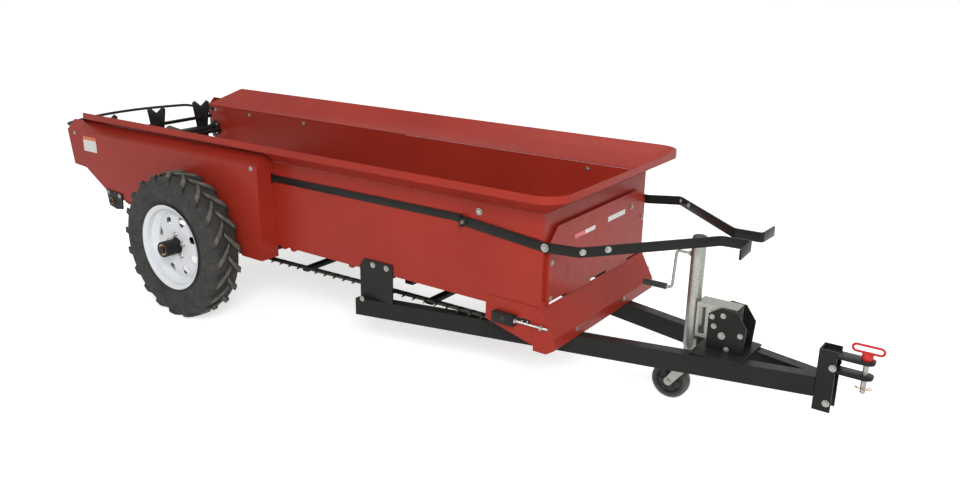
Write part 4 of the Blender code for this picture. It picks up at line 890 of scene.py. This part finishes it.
def beater():
    shape = bmesh.new()
    rod(shape, JOURNAL_RADIUS, -JOURNAL_HALF, JOURNAL_HALF, 40, along_y())
    rod(shape, TUBE_RADIUS, -BEATER_HALF, BEATER_HALF, 48, along_y())
    for x, z in ((0.0, BAR_OUT), (BAR_OUT, 0.0), (0.0, -BAR_OUT), (-BAR_OUT, 0.0)):
        block(shape, (x - BAR_HALF, -BEATER_HALF, z - BAR_HALF),
              (x + BAR_HALF, BEATER_HALF, z + BAR_HALF))
    for y, angle, twist in PADDLES:
        matrix = (Matrix.Translation((0, y, 0)) @ Matrix.Rotation(math.radians(angle), 4, "Y")
                  @ Matrix.Rotation(math.radians(90 + twist), 4, "Z") @ STAND)
        plate(shape, PADDLE, -PADDLE_HALF, PADDLE_HALF, matrix)
    add("beater_rotor_round", shape, [BLACK], "beater_rotor", "frame_black", "beater", soft=0.0010,
        at=(BEATER[0], 0.0, BEATER[1]))
    for side, hand in SIDES:
        shape = bmesh.new()
        turned(shape, sided(BEARING, side), 56, along_y((BEATER[0], 0, BEATER[1])))
        add(f"flanged_bearing_{hand}", shape, [BLACK], "frame", "frame_black",
            f"beater_bearing_{hand}")


def hoop():
    """Round bar with straight legs and a shallow curve between its corners."""
    shares = [HOOP_SPAN * (i / 12 - 1) for i in range(25)]
    curve = [(HOOP_CORNER + (HOOP_BACK - HOOP_CORNER) * (1 - s * s), HOOP_Y * s) for s in shares]
    path = [(HOOP_FOOT, -HOOP_Y), (HOOP_CORNER, -HOOP_Y), *curve, (HOOP_CORNER, HOOP_Y),
            (HOOP_FOOT, HOOP_Y)]
    shape = bmesh.new()
    tube(shape, rounded([(x, y, HOOP_Z) for x, y in path], HOOP_BEND, 5), HOOP_RADIUS, 20)
    add("rear_hoop_round", shape, [BLACK], "frame", "frame_black", "rear_hoop", angle=50)


# The hitch pin with its ring and clip, and the clevis

# Radius and height
PIN_HEAD = ((0.0, 0.3823), (0.0110, 0.3823), (0.0165, 0.3805), (0.0190, 0.3765), (0.0190, 0.3575),
            (0.0180, 0.3563), (0.0, 0.3563))
PIN_SHANK = ((0.0, 0.3570), (0.0095, 0.3570), (0.0095, 0.2325), (0.0055, 0.2280), (0.0, 0.2280))
RING_WIRE, RING_BEND, RING_Z = 0.0045, 0.0125, 0.3948
RING_END = 3.007        # x of the ring's front
# The clip's path, x from the pin
CLIP = ((-0.030, 0.0, 0.2445), (0.020, 0.0, 0.2445), (0.030, 0.0, 0.250), (0.022, 0.0, 0.2565),
        (0.012, -0.0112, 0.2500), (0.0, -0.0112, 0.2470), (-0.012, -0.0105, 0.2500),
        (-0.026, -0.004, 0.2530))
CLIP_WIRE, CLIP_BEND = 0.0018, 0.006
CLEVIS_REAR, CLEVIS_FRONT, CLEVIS_HALF = 2.8063, 2.980, 0.0287
JAW_HEIGHTS, JAW_HALF, JAW_NOSE = (0.350, 0.293), 0.006, 0.024
WEB_THICK, WEB_LOW, WEB_HIGH = 0.012, 0.2872, 0.3558


def hitch_pin():
    shape = bmesh.new()
    at = Matrix.Translation((HITCH_X, 0, 0))
    turned(shape, PIN_HEAD, 40, at)
    turned(shape, PIN_SHANK, 32, at, look=1)
    reach = RING_END - RING_WIRE - RING_BEND - HITCH_X
    oval = arc((HITCH_X + reach, RING_Z), RING_BEND, -90, 90, 14)
    oval += arc((HITCH_X - reach, RING_Z), RING_BEND, 90, 270, 14)
    tube(shape, [(x, 0.0, z) for x, z in oval], RING_WIRE, 16, closed=True)
    clip = rounded([(HITCH_X + x, y, z) for x, y, z in CLIP], CLIP_BEND, 5)
    tube(shape, clip, CLIP_WIRE, 10, look=2)
    add("hitch_pin_round", shape, [PIN_RED, ZINC, BRASS], "frame", "pin_red", "hitch_pin",
        angle=40)


def clevis():
    """Two flat jaws with rounded noses on a web."""
    across = CLEVIS_HALF - JAW_NOSE
    nose = [(CLEVIS_REAR, -CLEVIS_HALF), (CLEVIS_FRONT - JAW_NOSE, -CLEVIS_HALF)]
    nose += arc((CLEVIS_FRONT - JAW_NOSE, -across), JAW_NOSE, -90, -9, 9)
    nose += arc((CLEVIS_FRONT - JAW_NOSE, across), JAW_NOSE, 9, 90, 9)
    nose += [(CLEVIS_REAR, CLEVIS_HALF)]
    shape = bmesh.new()
    for z in JAW_HEIGHTS:
        plate(shape, nose, z - JAW_HALF, z + JAW_HALF)
    block(shape, (CLEVIS_REAR, -CLEVIS_HALF, WEB_LOW),
          (CLEVIS_REAR + WEB_THICK, CLEVIS_HALF, WEB_HIGH))
    add("clevis_round", shape, [BLACK], "frame", "frame_black", "clevis", soft=0.0018)


# The jack

# Radius and height
JACK_TUBE = ((0.0, 0.6680), (0.0262, 0.6680), (JACK_RADIUS, 0.6670), (JACK_RADIUS, 0.2410),
             (0.0262, 0.2400), (0.0240, 0.2400), (0.0240, 0.6640), (0.0, 0.6640))
JACK_CAP = ((0.0, 0.6880), (0.0210, 0.6875), (0.0255, 0.6850), (0.0270, 0.6800),
            (0.0270, 0.6560), (0.0262, 0.6555), (0.0, 0.6555))
JACK_LEG = ((0.0235, 0.4500), (0.0235, 0.1670), (0.0230, 0.1665), (0.0205, 0.1665),
            (0.0205, 0.4500))
FORK_PLATE = ((0.0, 0.1600), (0.0425, 0.1600), (0.0440, 0.1612), (0.0440, 0.1648),
              (0.0425, 0.1660), (0.0, 0.1660))
CRANK_Z, GRIP_Y, GRIP_Z = 0.612, -0.020, 0.465
CRANK_ARM, GRIP_START, GRIP_REACH = 0.085, 0.060, 0.118
CRANK_BAR, CRANK_BEND = 0.0055, 0.016
CRANK_BOSS = (0.0110, -0.0085, -0.0005)     # radius, from and to along x from the tube
GRIP_RIBS, GRIP_LENGTH, GRIP_END = 9, 0.096, 0.0966
# One rib: radius, distance along
GRIP_RIB = ((0.0118, 0.0008), (0.0125, 0.0025), (0.0125, 0.0082), (0.0118, 0.0100))
FORK_STEM = (0.0120, 0.1650, 0.2065)        # radius, low and high
FORK_HALF, FORK_CHEEK = 0.030, 0.002
CHEEK_FRONT, CHEEK_REAR, CHEEK_TOP, CHEEK_NOSE = 0.024, 0.027, 0.1630, 0.018
CASTER_AXLE, CASTER_NUT = (0.0070, -0.034, 0.034), 0.0085
# Half of the caster wheel's section: radius, distance out
CASTER_HALF = ((0.0750, 0.0), (0.0750, 0.0110), (0.0738, 0.0170), (0.0710, 0.0205),
               (0.0650, 0.0220), (0.0640, 0.0214), (0.0620, 0.0210), (0.0560, 0.0220),
               (0.0525, 0.0215), (0.0480, 0.0120), (0.0220, 0.0110), (0.0180, 0.0190),
               (0.0160, 0.0220), (0.0075, 0.0220))
SPOKES = 6
SPOKE = ((0.017, -0.0025, -0.0165), (0.053, 0.0025, 0.0165))    # two corners


def jack():
    shape = bmesh.new()
    at = Matrix.Translation((JACK_X, 0, 0))
    turned(shape, JACK_TUBE, 64, at)
    turned(shape, JACK_CAP, 64, at, look=1)
    add("jack_tube_round", shape, [ZINC, GRIP], "jack_upper", "zinc", "jack_tube")
    arm, seat = JACK_X - CRANK_ARM, JACK_X - JACK_RADIUS
    shape = bmesh.new()
    tube(shape, rounded([(seat - GAP, 0.0, CRANK_Z), (arm, 0.0, CRANK_Z), (arm, GRIP_Y, GRIP_Z),
                         (arm - GRIP_START, GRIP_Y, GRIP_Z)], CRANK_BEND), CRANK_BAR, 16)
    rod(shape, *CRANK_BOSS, 28, along_x((seat, 0, CRANK_Z)))
    ribs = [(0.0, 0.0)]
    for i in range(GRIP_RIBS):
        ribs += [(radius, GRIP_LENGTH * i / GRIP_RIBS + along) for radius, along in GRIP_RIB]
    ribs += [(0.0, GRIP_END)]
    turned(shape, ribs, 32, along_x((arm - GRIP_REACH, GRIP_Y, GRIP_Z)), look=1)
    add("jack_crank_round", shape, [ZINC, GRIP], "jack_upper", "zinc", "jack_crank", angle=40)
    shape = bmesh.new()
    turned(shape, JACK_LEG, 64, at)
    add("jack_leg_round", shape, [ZINC], "jack_lower", "zinc", "jack_leg")


def caster():
    shape = bmesh.new()
    at = Matrix.Translation((JACK_X, 0, 0))
    axle = along_y((CASTER[0], 0, CASTER[1]))
    turned(shape, FORK_PLATE, 56, at)
    rod(shape, *FORK_STEM, 40, at)
    cheek = [(JACK_X + CHEEK_FRONT, CHEEK_TOP), *arc(CASTER, CHEEK_NOSE, -60, -240, 14),
             (JACK_X - CHEEK_REAR, CHEEK_TOP)]
    for y in (FORK_HALF, -FORK_HALF):
        plate(shape, cheek, y - FORK_CHEEK, y + FORK_CHEEK, STAND)
    rod(shape, *CASTER_AXLE, 28, axle)
    add("caster_fork_round", shape, [ZINC], "caster_swivel", "zinc", "caster_fork", soft=0.0009)
    bolts("caster_axle_nuts", "caster_swivel",
          [((CASTER[0], side * (FORK_HALF + FORK_CHEEK), CASTER[1]), (0, side, 0), CASTER_NUT)
           for side in (-1, 1)])
    shape = bmesh.new()
    turned(shape, mirrored(CASTER_HALF), 72, axle)
    for angle in spaced(SPOKES):
        block(shape, *SPOKE, axle @ Matrix.Rotation(angle, 4, "Z"))
    add("caster_wheel_round", shape, [CASTER_RUBBER], "caster_roller", "caster_rubber",
        "caster_wheel", angle=40)


# The take-ups: block, threaded rod and its nuts

BLOCK_HALF, BLOCK_HIGH = 0.050, 0.022
BLOCK_IN, BLOCK_OUT = 0.4281, 0.4541
ROD_END, THREAD, CREST, ROOT = 1.936, 0.0022, 0.0050, 0.0043
TAKE_UP_NUTS = ((1.9060, 0.0085), (1.7905, 0.0080))     # x and radius


def take_ups():
    x, z = FRONT_SHAFT
    middle = (BLOCK_IN + BLOCK_OUT) / 2
    start = x + BLOCK_HALF - 0.002
    length = ROD_END - start
    outline = rounded_outline([(x - BLOCK_HALF, z - BLOCK_HIGH), (x + BLOCK_HALF, z - BLOCK_HIGH),
                               (x + BLOCK_HALF, z + BLOCK_HIGH), (x - BLOCK_HALF, z + BLOCK_HIGH)],
                              0.004)
    profile = [(0.0, 0.0)]
    for i in range(int(length / THREAD)):
        profile += [(CREST, THREAD * i + 0.0004), (ROOT, THREAD * i + 0.0015)]
    profile += [(ROOT, length), (0.0, length)]
    for side, hand in SIDES:
        shape = bmesh.new()
        plate(shape, outline, -side * BLOCK_IN, -side * BLOCK_OUT, STAND)
        carrier = soften(closed_object(f"take_up_{hand}_round", shape, [BLACK]), 0.0012)
        shape = bmesh.new()
        turned(shape, profile, 14, along_x((start, side * middle, z)))
        screw = closed_object("threaded_rod", shape, [STEEL])
        fit(joined(carrier, screw), "frame", "frame_black", f"take_up_{hand}")
    bolts("take_up_nuts", "frame", [((nut, side * middle, z), (1, 0, 0), size)
                                    for side in (-1, 1) for nut, size in TAKE_UP_NUTS], STEEL)


# Red tabs at the box's lower front corners and under its walls

CORNER_TAB_X, CORNER_TAB_Y, CORNER_TAB_Z = (1.8943, 1.9010), (0.3885, 0.4244), (0.4238, 0.4500)
WALL_TABS, WALL_TAB_Y = (0.500, 0.560, 0.925), (0.4080, 0.4235)
WALL_TAB = ((-0.016, 0.3895), (0.016, 0.3895), (0.011, 0.3770), (-0.011, 0.3770))


def folded_tabs():
    shape = bmesh.new()
    for side in (-1, 1):
        corners = zip(CORNER_TAB_X, span(side, CORNER_TAB_Y), CORNER_TAB_Z)
        block(shape, *corners)
        low, high = span(side, WALL_TAB_Y)
        for middle in WALL_TABS:
            outline = rounded_outline([(middle + x, z) for x, z in WALL_TAB], 0.004)
            plate(shape, outline, -low, -high, STAND)
    add("folded_tabs", shape, [RED], "frame", "powder_red", soft=0.0008)


# Blank label plates: name, corner, edge along, edge up, and patches.
# A patch: from and to as shares of the edge along, the same of the edge up, and its look.

LABEL_THICK = 0.0005
LABELS = (("side", (-0.908, -SHIELD_FACE, 0.680), (0.118, 0, 0), (0, 0, 0.080),
           ((0.0, 1.0, 0.0, 0.76, LABEL), (0.0, 1.0, 0.76, 1.0, LABEL_ORANGE))),
          ("guard_right", (GUARD_FACE, -0.214, 0.648), (0, 0.164, 0), (0, 0, 0.017),
           ((0.0, 0.5, 0.0, 1.0, LABEL_RED), (0.5, 1.0, 0.0, 1.0, LABEL))),
          ("guard_left", (GUARD_FACE, 0.060, 0.651), (0, 0.151, 0), (0, 0, 0.021),
           ((0.0, 1.0, 0.0, 1.0, LABEL),)))


def labels():
    for name, corner, along, up, patches in LABELS:
        shape = bmesh.new()
        corner, along, up = Vector(corner), Vector(along), Vector(up)
        out = along.cross(up).normalized() * LABEL_THICK
        for look, (a, b, c, d, _) in enumerate(patches):
            ring = [corner + along * s + up * t for s, t in ((a, c), (b, c), (b, d), (a, d))]
            loft(shape, [ring, [point + out for point in ring]], look=look)
        add(f"blank_label_{name}", shape, [patch[4] for patch in patches], "frame", "powder_red")


# Bolts on the frame: x, y, z and head radius, y from the middle where a table is for both sides

RIGHT_BOLTS = ((GUARD_FACE, 0.270, 0.668, 0.0075), (1.9600, -0.258, 0.300, 0.0065),
               (1.9600, 0.143, 0.300, 0.0065))
OUTWARD_BOLTS = ((-0.980, 0.5281, 0.767, 0.0075), (0.426, 0.5281, 0.770, 0.0075),
                 (1.905, 0.4328, 0.668, 0.0105), (1.606, 0.4245, 0.752, 0.0090),
                 (1.060, 0.4308, 0.420, 0.0085), (1.136, 0.4308, 0.420, 0.0085),
                 (-0.713, 0.5343, 0.481, 0.0075), (-0.616, 0.5343, 0.474, 0.0075),
                 (1.048, 0.4912, 0.282, 0.0080), (2.414, 0.053, 0.400, 0.0068),
                 (2.456, 0.053, 0.412, 0.0068), (2.424, 0.053, 0.364, 0.0068),
                 (2.479, 0.053, 0.283, 0.0068), (2.526, 0.053, 0.348, 0.0068),
                 (2.458, 0.056, 0.334, 0.0092), (2.852, 0.035, 0.308, 0.0085),
                 (2.846, 0.035, 0.169, 0.0085))
INWARD_BOLTS = ((-0.662, 0.4215, 0.766, 0.0068), (-0.202, 0.4215, 0.766, 0.0068),
                (1.611, 0.4215, 0.763, 0.0068), (-1.017, 0.4215, 0.766, 0.0060),
                (-0.971, 0.4215, 0.768, 0.0060), (-1.020, 0.4215, 0.713, 0.0060),
                *((x, 0.4090, z, 0.0058) for x, z in arc(BEATER, 0.0375, 45, 315, 3)))
FORWARD_BOLTS = ((1.5405, 0.4450, 0.704, 0.0080), (GUARD_FACE, 0.384, 0.597, 0.0075),
                 (GUARD_FACE, 0.384, 0.455, 0.0070))
# Through each lever where it slants inwards, with a nut on the inner face: place in its middle
LEVER_BOLTS = ((2.0611, 0.4362, 0.684), (2.1261, 0.3687, 0.690))
SLANT_X, SLANT_Y = 0.718, 0.696
SEAT_X, SEAT_Y = 0.0029, 0.0028     # from the lever's middle to its faces
LEVER_BOLT = 0.0078


def frame_bolts():
    rows = [((x, y, z), (1, 0, 0), size) for x, y, z, size in RIGHT_BOLTS]
    for side, _ in SIDES:
        for table, facing in ((OUTWARD_BOLTS, (0, side, 0)), (INWARD_BOLTS, (0, -side, 0)),
                              (FORWARD_BOLTS, (1, 0, 0))):
            rows += [((x, side * y, z), facing, size) for x, y, z, size in table]
        rows += [((x + turn * SEAT_X, side * (y + turn * SEAT_Y), z),
                  (turn * SLANT_X, turn * side * SLANT_Y, 0), LEVER_BOLT)
                 for x, y, z in LEVER_BOLTS for turn in (1, -1)]
    bolts("frame_bolts", "frame", rows)


# Carried-over solids

def paint_solids():
    looks = {"powder_red": RED, "frame_black": BLACK, "zinc": ZINC, "wheel_white": WHITE,
             "rubber": RUBBER, "caster_rubber": CASTER_RUBBER, "pin_red": PIN_RED,
             "deck_wood": BOARDS}
    for row in frame["record"]["subparts"]:
        solid = frame["nodes"][row["node"]]
        for i in range(len(solid.material_slots)):
            solid.material_slots[i].material = looks[row["material_slot"]]


# Floor, light and camera

FLOOR_HALF = 30.0
FLOOR_GLOW = 0.66       # brings the floor that the camera sees up to the white of the background
WORLD_LIGHT, WORLD_SEEN = 0.42, 1.0
# name, place, point looked at, width, height, watts
LAMPS = (("key", (3.5, -4.3, 3.7), (0.2, -0.3, 0.5), 2.6, 2.0, 235.0),
         ("fill", (5.6, 1.2, 2.2), (0.8, 0.0, 0.5), 2.4, 2.0, 8.0),
         ("top", (-0.6, 0.8, 5.2), (-0.2, 0.0, 0.6), 4.0, 3.0, 70.0))
# The camera fitted to the photo: place, degrees down and round, lens, shifts
EYE, EYE_DOWN, EYE_ROUND = (2.6819, -3.1727, 1.7065), 17.94, 37.53
LENS, SHIFT_X, SHIFT_Y = 33.94, 0.0462, -0.0075


def seen_rays(tree):
    """1 for a ray from the camera or off a glossy or clear surface, 0 for light on the object."""
    rays = node(tree, "ShaderNodeLightPath").outputs
    total = rays["Is Camera Ray"]
    for kind in ("Is Glossy Ray", "Is Transmission Ray"):
        total = calculation(tree, "MAXIMUM", total, rays[kind])
    return total


def studio_floor():
    floor = bpy.data.meshes.new("studio_floor")
    corners = [(x * FLOOR_HALF, y * FLOOR_HALF, 0) for x, y in ((-1, -1), (1, -1), (1, 1), (-1, 1))]
    floor.from_pydata(corners, [], [(0, 1, 2, 3)])
    look = Finish("pale_floor", (0.86, 0.86, 0.86), 0.9, specular=0.1)
    level = look.math("MULTIPLY", seen_rays(look.tree), FLOOR_GLOW)
    glow = look.node("ShaderNodeEmission", {"Strength": level})
    both = look.node("ShaderNodeAddShader", {0: look.shader.outputs[0], 1: glow.outputs[0]})
    look.tree.links.new(both.outputs[0], look.tree.nodes["Material Output"].inputs["Surface"])
    floor.materials.append(look.material)
    ground = in_scene("studio_floor", floor)


def studio_light():
    world = bpy.data.worlds.new("studio_world")
    bpy.context.scene.world = world
    world.use_nodes = True
    tree = world.node_tree
    sky = tree.nodes["Background"]
    sky.inputs["Color"].default_value = (1.0, 1.0, 1.0, 1.0)
    level = node(tree, "ShaderNodeMapRange", {"Value": seen_rays(tree), "To Min": WORLD_LIGHT,
                                              "To Max": WORLD_SEEN})
    tree.links.new(level.outputs["Result"], sky.inputs["Strength"])
    for name, place, aim, width, height, watts in LAMPS:
        lamp = bpy.data.lights.new(name, "AREA")
        lamp.shape = "RECTANGLE"
        lamp.size, lamp.size_y, lamp.energy = width, height, watts
        obj = in_scene(name, lamp)
        obj.location = place
        look = (Vector(aim) - Vector(place)).to_track_quat("-Z", "Y")
        obj.rotation_euler = look.to_euler()


def photo_camera():
    camera = bpy.data.cameras.new("photo_camera")
    camera.sensor_width = 36.0
    camera.lens = LENS
    camera.shift_x, camera.shift_y = SHIFT_X, SHIFT_Y
    eye = in_scene("photo_camera", camera)
    eye.location = EYE
    eye.rotation_euler = (math.radians(90 - EYE_DOWN), 0.0, math.radians(EYE_ROUND))
    bpy.context.scene.camera = eye
    bpy.context.scene.view_settings.view_transform = "Standard"


paint_solids()
hopper_rim()
levers()
apron()
apron_shafts()
for side, hand in SIDES:
    tyre(side, hand)
    rim(side, hand)
    hub(side, hand)
beater()
hoop()
hitch_pin()
clevis()
jack()
caster()
take_ups()
folded_tabs()
labels()
frame_bolts()
studio_floor()
studio_light()
photo_camera()
